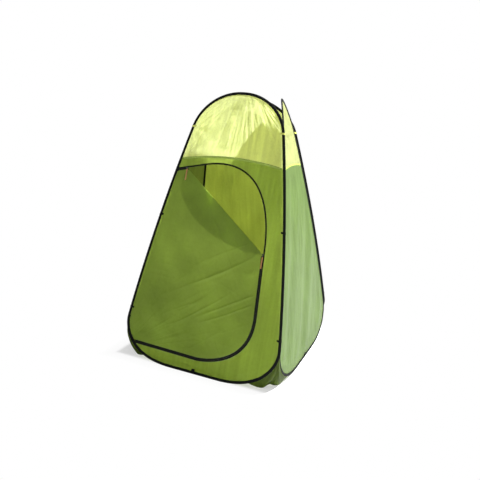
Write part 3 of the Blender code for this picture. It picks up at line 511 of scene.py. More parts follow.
def wall_height(wall, u, z, edge, lean, phase, seed, settings):
    """How far a wall's cloth stands off its flat shape, at points edge metres inside their nearest binding."""
    height = folds(u, z, lean, phase, settings.fold_depth) * fade(edge, FOLD_FADE)
    soft = fade(edge, CREASE_FADE)
    height = height + soft * creases(u, z, lean * 0.7, seed, settings.crease_depth)
    height = height + soft * creases(u, z, -0.9 - lean, seed + 7, 0.5 * settings.crease_depth)
    crown = settings.crease_depth * (0.2 if wall is FRONT else 1.0)
    for side in (-1, 1):
        foot = (side * wall.edge(0.2), 0.16)
        shoulder = (side * wall.edge(CROWN_START), CROWN_START)
        height = height + soft * fan(u, z, foot, 9, 0.26, 0.8 * settings.crease_depth, seed)
        height = height + soft * fan(u, z, shoulder, 8, 0.22, crown, seed + side)
    return height


# Meshes


def new_object(name, mesh):
    thing = bpy.data.objects.new(name, mesh)
    bpy.context.scene.collection.objects.link(thing)
    return thing


def laid(name, grid, place, closed=False):
    """A grid laid out by place(s, t), which gives points and their pattern coordinates in metres."""
    columns, rows = grid
    bm = bmesh.new()
    bmesh.ops.create_grid(bm, x_segments=columns, y_segments=rows, size=0.5)
    bm.loops.layers.uv.new("Cloth")
    mesh = bpy.data.meshes.new(name)
    bm.to_mesh(mesh)
    bm.free()
    flat = np.empty(len(mesh.vertices) * 3)
    mesh.vertices.foreach_get("co", flat)
    flat = flat.reshape(-1, 3)
    points, pattern = place(flat[:, 0] + 0.5, flat[:, 1] + 0.5)
    mesh.vertices.foreach_set("co", np.ascontiguousarray(points).ravel())
    corner = np.empty(len(mesh.loops), int)
    mesh.loops.foreach_get("vertex_index", corner)
    mesh.uv_layers["Cloth"].data.foreach_set("uv", np.ascontiguousarray(pattern[corner]).ravel())
    mesh.update()
    if closed:
        bm = bmesh.new()
        bm.from_mesh(mesh)
        bmesh.ops.remove_doubles(bm, verts=bm.verts[:], dist=1e-6)
        bmesh.ops.recalc_face_normals(bm, faces=bm.faces[:])
        bm.to_mesh(mesh)
        bm.free()
    mesh.shade_smooth()
    return new_object(name, mesh)


def sheet(name, grid, place, thickness):
    """A grid as laid() makes it, thickened to both sides."""
    piece = laid(name, grid, place)
    solid = piece.modifiers.new("Thickness", "SOLIDIFY")
    solid.thickness = thickness
    solid.offset = 0.0
    return piece


def on_wall(wall, u, z, height=0.0):
    """Points of cloth on a wall, and their pattern coordinates."""
    return wall.point(u, z, height), np.stack([u, z * STRETCH], -1)


def to_ends(share, span):
    """The distance to the nearer end of a span, at shares of it."""
    return np.minimum(share, 1 - share) * span


def finish_piece(piece, material, body, nodes=(), flat=None):
    """Gives a piece its material and the body it rides on. Its cut size, for cloth, is not used."""
    piece.data.materials.append(material)
    if body:
        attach(piece, body)
    if nodes:
        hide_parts(*nodes)
    return piece


# Materials


def material_tree(name):
    material = bpy.data.materials.new(name)
    material.use_nodes = True
    tree = material.node_tree
    return material, tree, tree.nodes["Principled BSDF"]


def add_node(tree, kind, **values):
    node = tree.nodes.new(kind)
    for key, value in values.items():
        setattr(node, key, value)
    return node


def math_node(tree, operation, first, second):
    node = add_node(tree, "ShaderNodeMath", operation=operation)
    for socket, value in zip(node.inputs, (first, second)):
        if isinstance(value, (int, float)):
            socket.default_value = value
        else:
            tree.links.new(value, socket)
    return node.outputs[0]


def pattern_place(tree, scale):
    """The cloth's own coordinates, in metres, times a scale."""
    place = add_node(tree, "ShaderNodeUVMap", uv_map="Cloth")
    mapping = add_node(tree, "ShaderNodeMapping")
    mapping.inputs["Scale"].default_value = scale
    tree.links.new(place.outputs["UV"], mapping.inputs["Vector"])
    return mapping.outputs["Vector"]


def noise(tree, vector, scale, detail, roughness=0.5):
    node = add_node(tree, "ShaderNodeTexNoise")
    node.inputs["Scale"].default_value = scale
    node.inputs["Detail"].default_value = detail
    node.inputs["Roughness"].default_value = roughness
    tree.links.new(vector, node.inputs["Vector"])
    return node.outputs["Fac"]


def threads(tree, vector, direction, pitch):
    """Rounded threads a pitch apart, across one direction."""
    node = add_node(tree, "ShaderNodeTexWave", wave_type="BANDS", bands_direction=direction)
    node.inputs["Scale"].default_value = math.tau / (20 * pitch)
    node.inputs["Distortion"].default_value = 0.0
    tree.links.new(vector, node.inputs["Vector"])
    return node.outputs["Fac"]


def bump(tree, height, distance, normal=None):
    node = add_node(tree, "ShaderNodeBump")
    node.inputs["Distance"].default_value = distance
    node.inputs["Strength"].default_value = 1.0
    tree.links.new(height, node.inputs["Height"])
    if normal:
        tree.links.new(normal, node.inputs["Normal"])
    return node.outputs["Normal"]


def ramp(tree, factor, low, high, start=0.3, end=0.7):
    node = add_node(tree, "ShaderNodeValToRGB")
    first, last = node.color_ramp.elements
    first.position, first.color = start, (*low, 1)
    last.position, last.color = end, (*high, 1)
    tree.links.new(factor, node.inputs["Fac"])
    return node.outputs["Color"]


def shaded(colour, amount):
    return tuple(min(1.0, part * amount) for part in colour)


def taffeta(name, colour, glow, through_share, pleat_shade_share, settings):
    """Thin coated cloth: a fine plain weave, faint crinkles, light that comes through it, and long streaks of
    painted pleat light and shade in its tone and glow.
    """
    material, tree, shader = material_tree(name)
    place = pattern_place(tree, (1, 1, 1))
    wide = noise(tree, place, 3.0, 3.0)
    fine = noise(tree, place, 55.0, 4.0, 0.6)
    # Long upright streaks: painted light and shade of pleats, in both the colour and the glow
    pleat_shade = noise(tree, pattern_place(tree, (34.0, 1.6, 1.0)), 1.0, 3.0)
    broad = math_node(tree, "MULTIPLY", wide, 0.8 - pleat_shade_share)
    both = math_node(tree, "ADD", broad, math_node(tree, "MULTIPLY", fine, 0.20))
    both = math_node(tree, "ADD", both, math_node(tree, "MULTIPLY", pleat_shade, pleat_shade_share))
    cloth = ramp(tree, both, shaded(colour, 0.84), shaded(colour, 1.16), 0.36, 0.64)
    through = ramp(tree, both, shaded(glow, 0.86), shaded(glow, 1.10), 0.36, 0.64)
    tree.links.new(cloth, shader.inputs["Base Color"])
    shader.inputs["Roughness"].default_value = settings.cloth_roughness
    shader.inputs["Specular IOR Level"].default_value = settings.cloth_shine
    weave = math_node(
        tree,
        "MULTIPLY",
        threads(tree, place, "X", settings.weave_pitch),
        threads(tree, place, "Y", settings.weave_pitch),
    )
    crinkle = noise(tree, pattern_place(tree, (1.0, 0.45, 1.0)), 38.0, 5.0, 0.55)
    surface = bump(tree, crinkle, settings.crinkle_depth)
    surface = bump(tree, weave, settings.weave_pitch * 0.12, surface)
    tree.links.new(surface, shader.inputs["Normal"])
    lit = add_node(tree, "ShaderNodeBsdfTranslucent")
    tree.links.new(through, lit.inputs["Color"])
    tree.links.new(surface, lit.inputs["Normal"])
    mix = add_node(tree, "ShaderNodeMixShader")
    mix.inputs["Fac"].default_value = through_share
    tree.links.new(shader.outputs["BSDF"], mix.inputs[1])
    tree.links.new(lit.outputs["BSDF"], mix.inputs[2])
    tree.links.new(mix.outputs["Shader"], tree.nodes["Material Output"].inputs["Surface"])
    return material


def stitch_mask(tree, offsets):
    """Where stitches lie along a strip, in lines at given distances across it; V runs across, U along."""
    place = add_node(tree, "ShaderNodeUVMap", uv_map="Cloth")
    split = add_node(tree, "ShaderNodeSeparateXYZ")
    tree.links.new(place.outputs["UV"], split.inputs["Vector"])
    run = math_node(tree, "FRACT", math_node(tree, "DIVIDE", split.outputs["X"], STITCH_PITCH), 0.0)
    dash = math_node(tree, "LESS_THAN", run, STITCH_SHARE)
    mask = None
    for offset in offsets:
        off = math_node(tree, "ABSOLUTE", math_node(tree, "SUBTRACT", split.outputs["Y"], offset), 0.0)
        line = math_node(tree, "MULTIPLY", math_node(tree, "LESS_THAN", off, THREAD_HALF), dash)
        mask = line if mask is None else math_node(tree, "MAXIMUM", mask, line)
    return mask


def webbing(name, colour, thread, offsets, rib, roughness=0.8):
    """Woven tape: ribs across it, a soft fuzz, and lines of stitching along it."""
    material, tree, shader = material_tree(name)
    place = pattern_place(tree, (1, 1, 1))
    ribs = threads(tree, place, "X", rib)
    lines = threads(tree, place, "Y", rib * 0.8)
    speckle = noise(tree, place, 240.0, 3.0)
    wear = noise(tree, place, 9.0, 3.0)
    tone = math_node(tree, "MULTIPLY", math_node(tree, "ADD", speckle, wear), 0.5)
    cloth = ramp(tree, tone, shaded(colour, 0.7), shaded(colour, 1.5))
    mask = stitch_mask(tree, offsets)
    mix = add_node(tree, "ShaderNodeMix", data_type="RGBA")
    tree.links.new(mask, mix.inputs["Factor"])
    tree.links.new(cloth, mix.inputs["A"])
    mix.inputs["B"].default_value = (*thread, 1)
    tree.links.new(mix.outputs["Result"], shader.inputs["Base Color"])
    shader.inputs["Roughness"].default_value = roughness
    shader.inputs["Specular IOR Level"].default_value = 0.08
    weave = math_node(tree, "MULTIPLY", ribs, lines)
    height = math_node(tree, "ADD", weave, mask)
    tree.links.new(bump(tree, height, rib * 0.2), shader.inputs["Normal"])
    return material


def hard_surface(name, colour, roughness, metallic, scratch, shine=0.5):
    """Metal or moulded plastic with fine scratches and duller patches."""
    material, tree, shader = material_tree(name)
    place = add_node(tree, "ShaderNodeTexCoord").outputs["Object"]
    patches = noise(tree, place, 90.0, 4.0)
    tone = ramp(tree, patches, shaded(colour, 0.8), shaded(colour, 1.2))
    tree.links.new(tone, shader.inputs["Base Color"])
    dullness = ramp(tree, patches, (roughness * 0.8,) * 3, (roughness * 1.3,) * 3)
    tree.links.new(dullness, shader.inputs["Roughness"])
    shader.inputs["Metallic"].default_value = metallic
    shader.inputs["Specular IOR Level"].default_value = shine
    tree.links.new(bump(tree, noise(tree, place, 900.0, 3.0), scratch), shader.inputs["Normal"])
    return material


def leather(name, colour):
    """Leather with a fine grain and an uneven tone."""
    material, tree, shader = material_tree(name)
    place = pattern_place(tree, (1, 1, 1))
    cells = add_node(tree, "ShaderNodeTexVoronoi", feature="DISTANCE_TO_EDGE")
    cells.inputs["Scale"].default_value = 900.0
    tree.links.new(place, cells.inputs["Vector"])
    patches = noise(tree, place, 60.0, 3.0)
    tone = ramp(tree, patches, shaded(colour, 0.75), shaded(colour, 1.25))
    tree.links.new(tone, shader.inputs["Base Color"])
    shader.inputs["Roughness"].default_value = 0.5
    tree.links.new(bump(tree, cells.outputs["Distance"], 0.0002), shader.inputs["Normal"])
    return material


# What a user would change


def colour_setting(name, description, *default):
    return FloatVectorProperty(name=name, description=description, subtype="COLOR", default=default)


def length_setting(name, description, default):
    return FloatProperty(name=name, description=description, unit="LENGTH", default=default)


def power_setting(name, description, default):
    return FloatProperty(name=name, description=description, unit="POWER", default=default)


def number_setting(name, description, default):
    return FloatProperty(name=name, description=description, default=default)


class TentCloth(bpy.types.PropertyGroup):
    """The walls' cloth. A glow is a cloth's colour with light behind it. The surround's colours are a lighter
    copy of the door's, and the side and back walls' colours are darker copies of the front's, each set for how
    light falls there: painted light and shade.
    """

    green: colour_setting("Green cloth", "Door's cloth", 0.248, 0.338, 0.066)
    # The surround is the door's cloth, given lighter colours as painted light where sun falls on it
    surround_lit_green: colour_setting("Surround green", "Cloth round the door", 0.270, 0.365, 0.068)
    surround_lit_glow: colour_setting("Surround glow", "Cloth round the door, lit through", 0.67, 0.75, 0.32)
    # The side and back walls are the same cloth as the front, given darker colours as painted shade, set
    # against how the lamps light each wall
    side_shaded_green: colour_setting("Side green", "Side and back lower cloth", 0.156, 0.234, 0.080)
    green_glow: colour_setting("Green glow", "Door's cloth, lit through", 0.55, 0.63, 0.26)
    side_shaded_glow: colour_setting("Side glow", "Side and back lower cloth, lit through", 0.37, 0.41, 0.13)
    yellow: colour_setting("Yellow cloth", "Front upper cloth", 0.72, 0.76, 0.22)
    side_yellow: colour_setting("Side yellow", "Side and back upper cloth", 0.41, 0.43, 0.19)
    side_shaded_yellow_glow: colour_setting(
        "Side yellow glow", "Side and back upper cloth, lit through", 0.51, 0.54, 0.30
    )
    yellow_glow: colour_setting("Yellow glow", "Front upper cloth, lit through", 0.88, 0.91, 0.66)
    gusset: colour_setting("Corner cloth", "Cloth of the corner gussets", 0.060, 0.095, 0.014)
    thickness: length_setting("Thickness", "Thickness of the cloth", 0.0005)
    fold_depth: length_setting("Folds", "Height of the broad folds", 0.0070)
    crease_depth: length_setting("Creases", "Height of the creases", 0.0022)
    pull_depth: length_setting("Drawn creases", "Height of the creases where the front is pulled", 0.0030)
    crinkle_depth: length_setting("Crinkle", "Depth of the fine crinkles", 0.0012)
    weave_pitch: length_setting("Weave", "Distance between threads", 0.0006)
    cloth_roughness: number_setting("Roughness", "How dull the cloth is", 0.45)
    cloth_shine: number_setting("Shine", "How much the cloth mirrors", 0.12)
    see_through: number_setting("Light through", "Share of light through the front's cloth", 0.72)
    side_through: number_setting("Side light through", "Share of light through the other walls", 0.60)


class TentTrim(bpy.types.PropertyGroup):
    """Piping, tapes, tabs and the zip's hardware."""

    piping: colour_setting("Piping", "Colour of the piped edges", 0.0030, 0.0036, 0.0028)
    thread: colour_setting("Thread", "Colour of the stitching", 0.012, 0.014, 0.010)
    pull: colour_setting("Pulls", "Colour of the zip pulls", 0.26, 0.12, 0.028)
    metal: colour_setting("Sliders", "Colour of the zip sliders", 0.06, 0.06, 0.06)
    seam_width: length_setting("Seam", "Width of the seam between the cloths", 0.014)
    tooth_pitch: length_setting("Teeth", "Distance between the zip's teeth", 0.0030)
    tab_height: length_setting("Tabs", "Height of the corner tabs", 0.012)


class TentStage(bpy.types.PropertyGroup):
    """Floor, lamps and camera."""

    floor: colour_setting("Floor", "Colour of the floor", 0.86, 0.86, 0.86)
    lens: number_setting("Lens", "Focal length in millimetres", 40.64)
    key: power_setting("Key", "Power of the main lamp", 3400.0)
    inside: power_setting("Inside", "Power of the lamp in the tent", 2.0)
    fill: power_setting("Fill", "Power of the fill lamp", 42.0)
    world: number_setting("Sky", "Strength of the light from all round", 0.35)


# Cloth walls


def wall_cloth(wall, low, high, lean, phase, seed, settings, drawn=None):
    """Places a wall's cloth between two heights given by its share of the width."""

    def place(s, t):
        share = np.sin((2 * s - 1) * CROWD) / math.sin(CROWD)
        bottom, top = low(share), high(share)
        z = bottom + (top - bottom) * t
        u = share * wall.edge(z)
        edge = np.minimum(wall.edge(z) - np.abs(u), np.minimum(z - bottom, top - z))
        height = wall_height(wall, u, z, edge, lean, phase, seed, settings)
        if drawn:
            height = height + settings.pull_depth * fade(edge, DRAWN_FADE) * drawn(u, z)
        return on_wall(wall, u, z, height)

    return place


def drawn_crown(u, z):
    """The front crown's creases, which run down from its top, and its pleats beside the right edge."""
    return pulled(u, z, (0.02, 1.99), 16, 0.30, 0.45, 71) + pleats(u, z, 0.16, 0.09, 0.035, 73)


def drawn_surround(u, z):
    """The pleats above and right of the door."""
    return 3.0 * pleats(u, z, 0.28, 0.15, 0.040, 75) * np.clip((z - 0.45) / 0.5, 0.3, 1)


def drawn_door(u, z):
    """The door's creases, which run down to the left from its open end, and those over its foot."""
    open_end = dragged(u, z, math.radians(29), (0.12, 0.62), (0.30, 0.20), 0.055, 77)
    low = dragged(u, z, math.radians(35), (-0.05, 0.36), (0.22, 0.12), 0.060, 78)
    return 5.0 * open_end + 3.0 * low + pulled(u, z, (-0.62, 0.02), 14, 0.30, 0.30, 79)


class TENT_OT_walls(bpy.types.Operator):
    """Lays the green cloth of the side and back walls and the yellow cloth of all four"""

    bl_idname = "tent.walls"
    bl_label = "Wall cloth"

    def execute(self, context):
        settings = context.scene.tent_cloth
        through, side_through = settings.see_through, settings.side_through
        # The surround's dye is the door's cloth made lighter, as painted light, and the side dyes are the
        # front's cloths made darker, as painted shade
        dyes = (
            ("green_taffeta", settings.green, settings.green_glow, through, PAINTED_PLEAT_STREAKS["door"]),
            ("surround_taffeta", settings.surround_lit_green, settings.surround_lit_glow, through, PAINTED_PLEAT_STREAKS["surround"]),
            ("side_taffeta", settings.side_shaded_green, settings.side_shaded_glow, side_through, PAINTED_PLEAT_STREAKS["side"]),
            ("yellow_taffeta", settings.yellow, settings.yellow_glow, through, PAINTED_PLEAT_STREAKS["yellow"]),
            (
                "side_yellow_taffeta",
                settings.side_yellow,
                settings.side_shaded_yellow_glow,
                side_through,
                PAINTED_PLEAT_STREAKS["side_yellow"],
            ),
        )
        green, front_yellow, yellow = [taffeta(*dye, settings) for dye in dyes][2:]
        for number, wall in enumerate(WALLS):
            lean = LEANS[wall.name]
            if wall is not FRONT:
                place = wall_cloth(
                    wall,
                    lambda share: foot_height(share, FABRIC_INSET),
                    lambda share: seam_height(wall, share) - SEAM_GAP / 2,
                    lean, number, 10 * number, settings,
                )
                piece = sheet(f"cloth_lower_{wall.name}", GRIDS["lower"], place, settings.thickness)
                finish_piece(
                    piece, green, wall.body, [f"lower_panel_{wall.name}"],
                    (2 * wall.edge(0.3), LOWER_LENGTH),
                )
            place = wall_cloth(
                wall,
                lambda share: seam_height(wall, share) + SEAM_GAP / 2,
                lambda share: crown_height(wall, share, FABRIC_INSET),
                -lean, number + 1, 10 * number + 5, settings, drawn_crown if wall is FRONT else None,
            )
            piece = sheet(f"cloth_upper_{wall.name}", GRIDS["upper"], place, settings.thickness)
            finish_piece(
                piece, front_yellow if wall is FRONT else yellow, wall.body,
                [f"upper_panel_{wall.name}"],
                (2 * wall.edge(1.41), UPPER_LENGTH),
            )
        return {"FINISHED"}


def surround_lines():
    """The inner and outer edges of the cloth round the door, point for point."""
    inner = beside(ZIP_LINE, TAPE_WIDTH + GAP)
    count = 3 * STEPS
    top_turn = 1 + STEPS // 2
    side_turn = len(ZIP_TOP) + 1 + STEPS + STEPS // 2
    first = spaced(inner[: top_turn + 1], count)
    second = spaced(inner[top_turn:side_turn], count)
    third = spaced(inner[side_turn - 1 :], count)
    share = np.linspace(-1, 1, count)
    z = seam_height(FRONT, share) - SEAM_GAP / 2
    top = np.stack([share * FRONT.edge(z), z], -1)
    z = np.linspace(top[-1, 1], FOOT_HEIGHT, count)
    side = np.stack([FRONT.edge(z), z], -1)
    low = HOOP_LIFT + FABRIC_INSET
    drop = (FOOT_HEIGHT - inner[-1, 1]) / (FOOT_HEIGHT - low)
    last = math.acos(drop ** (FOOT_POWERS[1] / 2))
    turns = np.concatenate([np.linspace(math.pi / 2, 0, STEPS), np.linspace(0, last, STEPS)])
    sides = np.repeat([1, -1], STEPS)
    share = FOOT_FLAT + (1 - FOOT_FLAT) * np.sin(turns) ** (2 / FOOT_POWERS[0])
    z = FOOT_HEIGHT - (FOOT_HEIGHT - low) * np.cos(turns) ** (2 / FOOT_POWERS[1])
    foot = spaced(np.stack([sides * share * FRONT.edge(z), z], -1), count)
    return np.concatenate([first, second[1:], third[1:]]), np.concatenate([top, side[1:], foot[1:]])


class TENT_OT_surround(bpy.types.Operator):
    """Lays the fixed cloth round the door"""

    bl_idname = "tent.surround"
    bl_label = "Door surround"

    def execute(self, context):
        settings = context.scene.tent_cloth
        inner, outer = surround_lines()

        def place(s, t):
            near, far = along_index(inner, s), along_index(outer, s)
            line = near + (far - near) * t[:, None]
            u, z = line[:, 0], line[:, 1]
            edge = to_ends(t, np.linalg.norm(far - near, axis=1))
            height = wall_height(FRONT, u, z, edge, 0.1, 0.5, 3, settings)
            height = height + settings.pull_depth * fade(edge, DRAWN_FADE) * drawn_surround(u, z)
            return on_wall(FRONT, u, z, height)

        green = bpy.data.materials["surround_taffeta"]
        for name, kind, laying, node, cut in (
            ("cloth_surround", "surround", place, "front_surround", SURROUND_CUT),
            ("cloth_hinge_strip", "hinge", hinge_place, "door_hinge_strip", HINGE_CUT),
        ):
            piece = sheet(name, GRIDS[kind], laying, settings.thickness)
            finish_piece(piece, green, FRONT.body, [node], cut)
        return {"FINISHED"}


def along_index(line, share):
    """The points at an array of shares of a line's count of points."""
    return sampled(line, np.arange(len(line)), np.clip(share, 0, 1) * (len(line) - 1))


HINGE_HEIGHTS = (FOOT_HEIGHT, DOOR_TOP_OUTER - TAPE_WIDTH - HINGE_SET)
HINGE = [np.array([inside_edge(z) + HINGE_SET, z]) for z in HINGE_HEIGHTS]


def hinge_at(z):
    (u_low, z_low), (u_high, z_high) = HINGE
    return u_low + (u_high - u_low) * (z - z_low) / (z_high - z_low)


def hinge_place(s, t):
    z = HINGE_HEIGHTS[0] + (HINGE_HEIGHTS[1] - HINGE_HEIGHTS[0]) * t
    u = -FRONT.edge(z) + (hinge_at(z) - GAP + FRONT.edge(z)) * s
    return on_wall(FRONT, u, z)


def coons(bottom, right, top, left, s, t):
    """Points inside four edge lines; bottom and top run left to right, left and right run upwards."""
    s1, t1 = s[:, None], t[:, None]
    low, high = along(bottom, s), along(top, s)
    west, east = along(left, t), along(right, t)
    lower_corners = (1 - s1) * (1 - t1) * bottom[0] + s1 * (1 - t1) * bottom[-1]
    corners = lower_corners + (1 - s1) * t1 * top[0] + s1 * t1 * top[-1]
    return (1 - t1) * low + t1 * high + (1 - s1) * west + s1 * east - corners


def door_edges():
    """The door's foot, right edge, top and left edge."""
    high, low = CHORD
    down = (low - high) / np.linalg.norm(low - high)
    aside = np.array([down[1], -down[0]]) * GAP
    inner = beside(ZIP_LINE, -(TAPE_WIDTH + GAP))
    turn = len(ZIP_TOP) + STEPS + STEPS // 2
    fold_start = high + down * 2 * TAPE_WIDTH + aside
    fold_end = low - down * (TAPE_WIDTH + FOLD_SHORT) + aside
    foot = inner[:turn:-1]
    opened = len(ZIP_TOP) + len(ZIP_OPEN) - 2
    right = np.concatenate([inner[turn : opened - 1 : -1], [fold_end]])
    top_left = np.array([hinge_at(inner[0, 1]) + GAP, inner[0, 1]])
    top = np.array([top_left, inner[1], fold_start, fold_end])
    z = np.linspace(foot[0, 1], FOOT_HEIGHT, STEPS)[1:]
    set_in = HINGE_SET * np.linspace(0, 1, STEPS)[1:] ** 4
    left = np.concatenate([foot[:1], np.stack([inside_edge(z) + set_in + GAP, z], -1), [top_left]])
    foot = np.concatenate([foot, right[:1]])
    return foot, right, top, left


class TENT_OT_door(bpy.types.Operator):
    """Lays the door's cloth and its open flap, which hangs inward over a straight fold"""

    bl_idname = "tent.door"
    bl_label = "Door"

    def execute(self, context):
        settings = context.scene.tent_cloth
        green = bpy.data.materials["green_taffeta"]
        edges = door_edges()

        def place(s, t):
            points = coons(*edges, s, t)
            u, z = points[:, 0], points[:, 1]
            edge = np.minimum(to_ends(s, DOOR_SPAN[0]), to_ends(t, DOOR_SPAN[1]))
            height = wall_height(FRONT, u, z, edge, 0.75, 2.0, 21, settings)
            height = height + settings.pull_depth * fade(edge, DRAWN_FADE) * drawn_door(u, z)
            return on_wall(FRONT, u, z, height)

        door = sheet("cloth_door", GRIDS["door"], place, settings.thickness)
        finish_piece(door, green, None, ["door_panel"], DOOR_CUT)
        middle = (HINGE[0] + HINGE[1]) / 2
        start = FRONT.point(middle[0], middle[1])
        end = FRONT.point(middle[0] + HINGE_BEND[0], middle[1] + HINGE_BEND[1])
        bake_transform(door)

        flap = sheet("cloth_flap", GRIDS["flap"], self.flap_place(settings), settings.thickness)
        finish_piece(flap, green, "flap", ["door_flap"], FLAP_CUT)
        return {"FINISHED"}

    def flap_place(self, settings):
        """Places the flap's cloth between the fold and the open stretch of the zip, then turns it in."""
        high, low = CHORD
        down = (low - high) / np.linalg.norm(low - high)
        aside = np.array([-down[1], down[0]]) * GAP
        start = high + down * 2 * TAPE_WIDTH + aside
        end = low - down * 2 * TAPE_WIDTH + aside
        opened = beside(spaced(ZIP_OPEN, FLAP_POINTS), -(TAPE_WIDTH + GAP))
        margin = 1.5 * FLAP_MARGIN

        def place(s, t):
            near = start + (end - start) * s[:, None]
            far = along(opened, margin + (1 - 2 * margin) * s)
            points = near + (far - near) * t[:, None]
            u, z = points[:, 0], points[:, 1]
            reach = np.linalg.norm(far - near, axis=1)
            edge = np.minimum(to_ends(t, reach), to_ends(s, FLAP_SPAN))
            flat, pattern = on_wall(FRONT, u, z, wall_height(FRONT, u, z, edge, 1.2, 0.0, 33, settings))
            return turned_in(flat), pattern

        return place


def fold_axis():
    """The flap's fold, just inside the cloth: a point on it and its way up to the left."""
    high, low = CHORD
    start = FRONT.point(low[0], low[1], -GAP)
    end = FRONT.point(high[0], high[1], -GAP)
    return start, (end - start) / np.linalg.norm(end - start)


def turned_in(points):
    """Turns the flap's points inward about the fold, in a soft bend close to it."""
    start, way = fold_axis()
    offset = points - start
    run = offset @ way
    reach = np.linalg.norm(offset - run[:, None] * way, axis=1)
    bend = np.clip((reach + FLAP_BEND_BEFORE) / FLAP_BEND, 0, 1)
    angle = (FLAP_FOLD * (bend * bend * (3 - 2 * bend)))[:, None]
    upright = np.cross(way, offset)
    lengthwise = (offset @ way)[:, None] * way
    return start + lengthwise + (offset - lengthwise) * np.cos(angle) + upright * np.sin(angle)


# Trim


class TENT_OT_piping(bpy.types.Operator):
    """Sweeps each wall's piped edge: a bead round the hoop and two legs over the cloth"""

    bl_idname = "tent.piping"
    bl_label = "Piping"

    def execute(self, context):
        trim = context.scene.tent_trim
        black = webbing("black_piping", trim.piping, trim.thread, (0.0035, -0.0035, 0.0490, 0.0420), 0.0016)
        inner = BEAD_HALF - 0.0009
        side = [
            (-BINDING_REACH, LEG_HALF - LEG_WALL * 0.5),
            (-BINDING_REACH + 0.001, LEG_HALF),
            (-0.0120, LEG_HALF + 0.0003),
            (-0.0075, BEAD_HALF * 0.62),
            (-0.0045, BEAD_HALF * 0.93),
            (-0.0010, BEAD_HALF),
            (0.0020, BEAD_HALF * 0.92),
            (0.0040, BEAD_HALF * 0.62),
            (BINDING_OUTSIDE, BEAD_HALF * 0.22),
        ]
        inside = [
            (BINDING_OUTSIDE - 0.0010, inner * 0.2),
            (0.0022, inner * 0.86),
            (-0.0020, inner),
            (-0.0065, inner * 0.75),
            (-0.0120, LEG_HALF - LEG_WALL + 0.0003),
            (-BINDING_REACH + 0.001, LEG_HALF - LEG_WALL),
        ]
        outer = side + [(a, -out) for a, out in reversed(side)]
        hollow = [(a, -out) for a, out in reversed(inside)] + inside
        profile = np.array(outer + hollow)
        ring = np.concatenate([profile, profile[:1]])
        lengths = run_of(ring)
        for number, wall in enumerate(WALLS):
            place, normal, across = carried(wall, hoop_line(wall, HOOP_POINTS), closed=True)
            run = run_of(np.vstack([place, place[:1]]))
            seed = 50 + number

            def lay(s, t):
                index = np.round(s * len(place)).astype(int)
                at = index % len(place)
                slot = np.round(t * len(profile)).astype(int)
                a, out = ring[slot, 0], ring[slot, 1]
                pucker = 0.0003 * lattice(run[index] * 60 * (index < len(place)), np.sign(out) * 3.0, seed)
                leg = np.clip(-a / BINDING_REACH, 0, 1)
                rise = out + pucker * leg * np.sign(out)
                points = place[at] + across[at] * a[:, None] + normal[at] * rise[:, None]
                points[:, 2] = np.where(points[:, 2] < 0.0007, 0.0, points[:, 2])
                return points, np.stack([run[index], lengths[slot]], -1)

            piece = laid(f"piping_{wall.name}", (len(place), len(profile)), lay, closed=True)
            finish_piece(piece, black, wall.body, [f"binding_{wall.name}"])
        return {"FINISHED"}


def strip_place(wall, line, half, out, lift):
    """A flat strip along a line on a wall, half metres to each side and out off the cloth, with its length."""
    place, normal, across = carried(wall, line)
    run = run_of(place)

    def lay(s, t):
        at = np.clip(np.round(s * (len(line) - 1)).astype(int), 0, len(line) - 1)
        a = (2 * t - 1) * half
        rise = out + lift(run[at], a)
        points = place[at] + across[at] * a[:, None] + normal[at] * rise[:, None]
        return points, np.stack([run[at], a], -1)

    return lay, run[-1]


class TENT_OT_seams(bpy.types.Operator):
    """Sews the seam between the green and the yellow cloth on each wall"""

    bl_idname = "tent.seams"
    bl_label = "Seams"

    def execute(self, context):
        trim = context.scene.tent_trim
        cloth = context.scene.tent_cloth
        half = trim.seam_width / 2
        colour, thread = shaded(cloth.green, 0.8), shaded(cloth.green, 0.5)
        tape = webbing("seam_tape", colour, thread, (-half + 0.002, half - 0.002), 0.0008, 0.6)
        for wall in WALLS:
            share = np.linspace(-1, 1, GRIDS["seam"][0] + 1)
            z = seam_height(wall, share)
            line = np.stack([share * (wall.wire(z) - BINDING_REACH - half), z], -1)

            def pucker(run, a):
                return 0.0002 * np.sin(run * 900) * (1 - (a / half) ** 2)

            lay, length = strip_place(wall, line, half, 0.0009, pucker)
            piece = sheet(f"seam_{wall.name}", GRIDS["seam"], lay, SEAM_THICK)
            finish_piece(
                piece, tape, wall.body, [f"seam_tape_{wall.name}"],
                (trim.seam_width * SEAM_EASE, length * SEAM_EASE),
            )
        return {"FINISHED"}


def box_into(bm, low, high, turn):
    """Adds a small box between two corners, placed by a matrix."""
    verts = bmesh.ops.create_cube(bm, size=1.0)["verts"]
    bmesh.ops.scale(bm, vec=[b - a for a, b in zip(low, high)], verts=verts)
    bmesh.ops.translate(bm, vec=Vector([(b + a) / 2 for a, b in zip(low, high)]), verts=verts)
    bmesh.ops.transform(bm, matrix=turn, verts=verts)


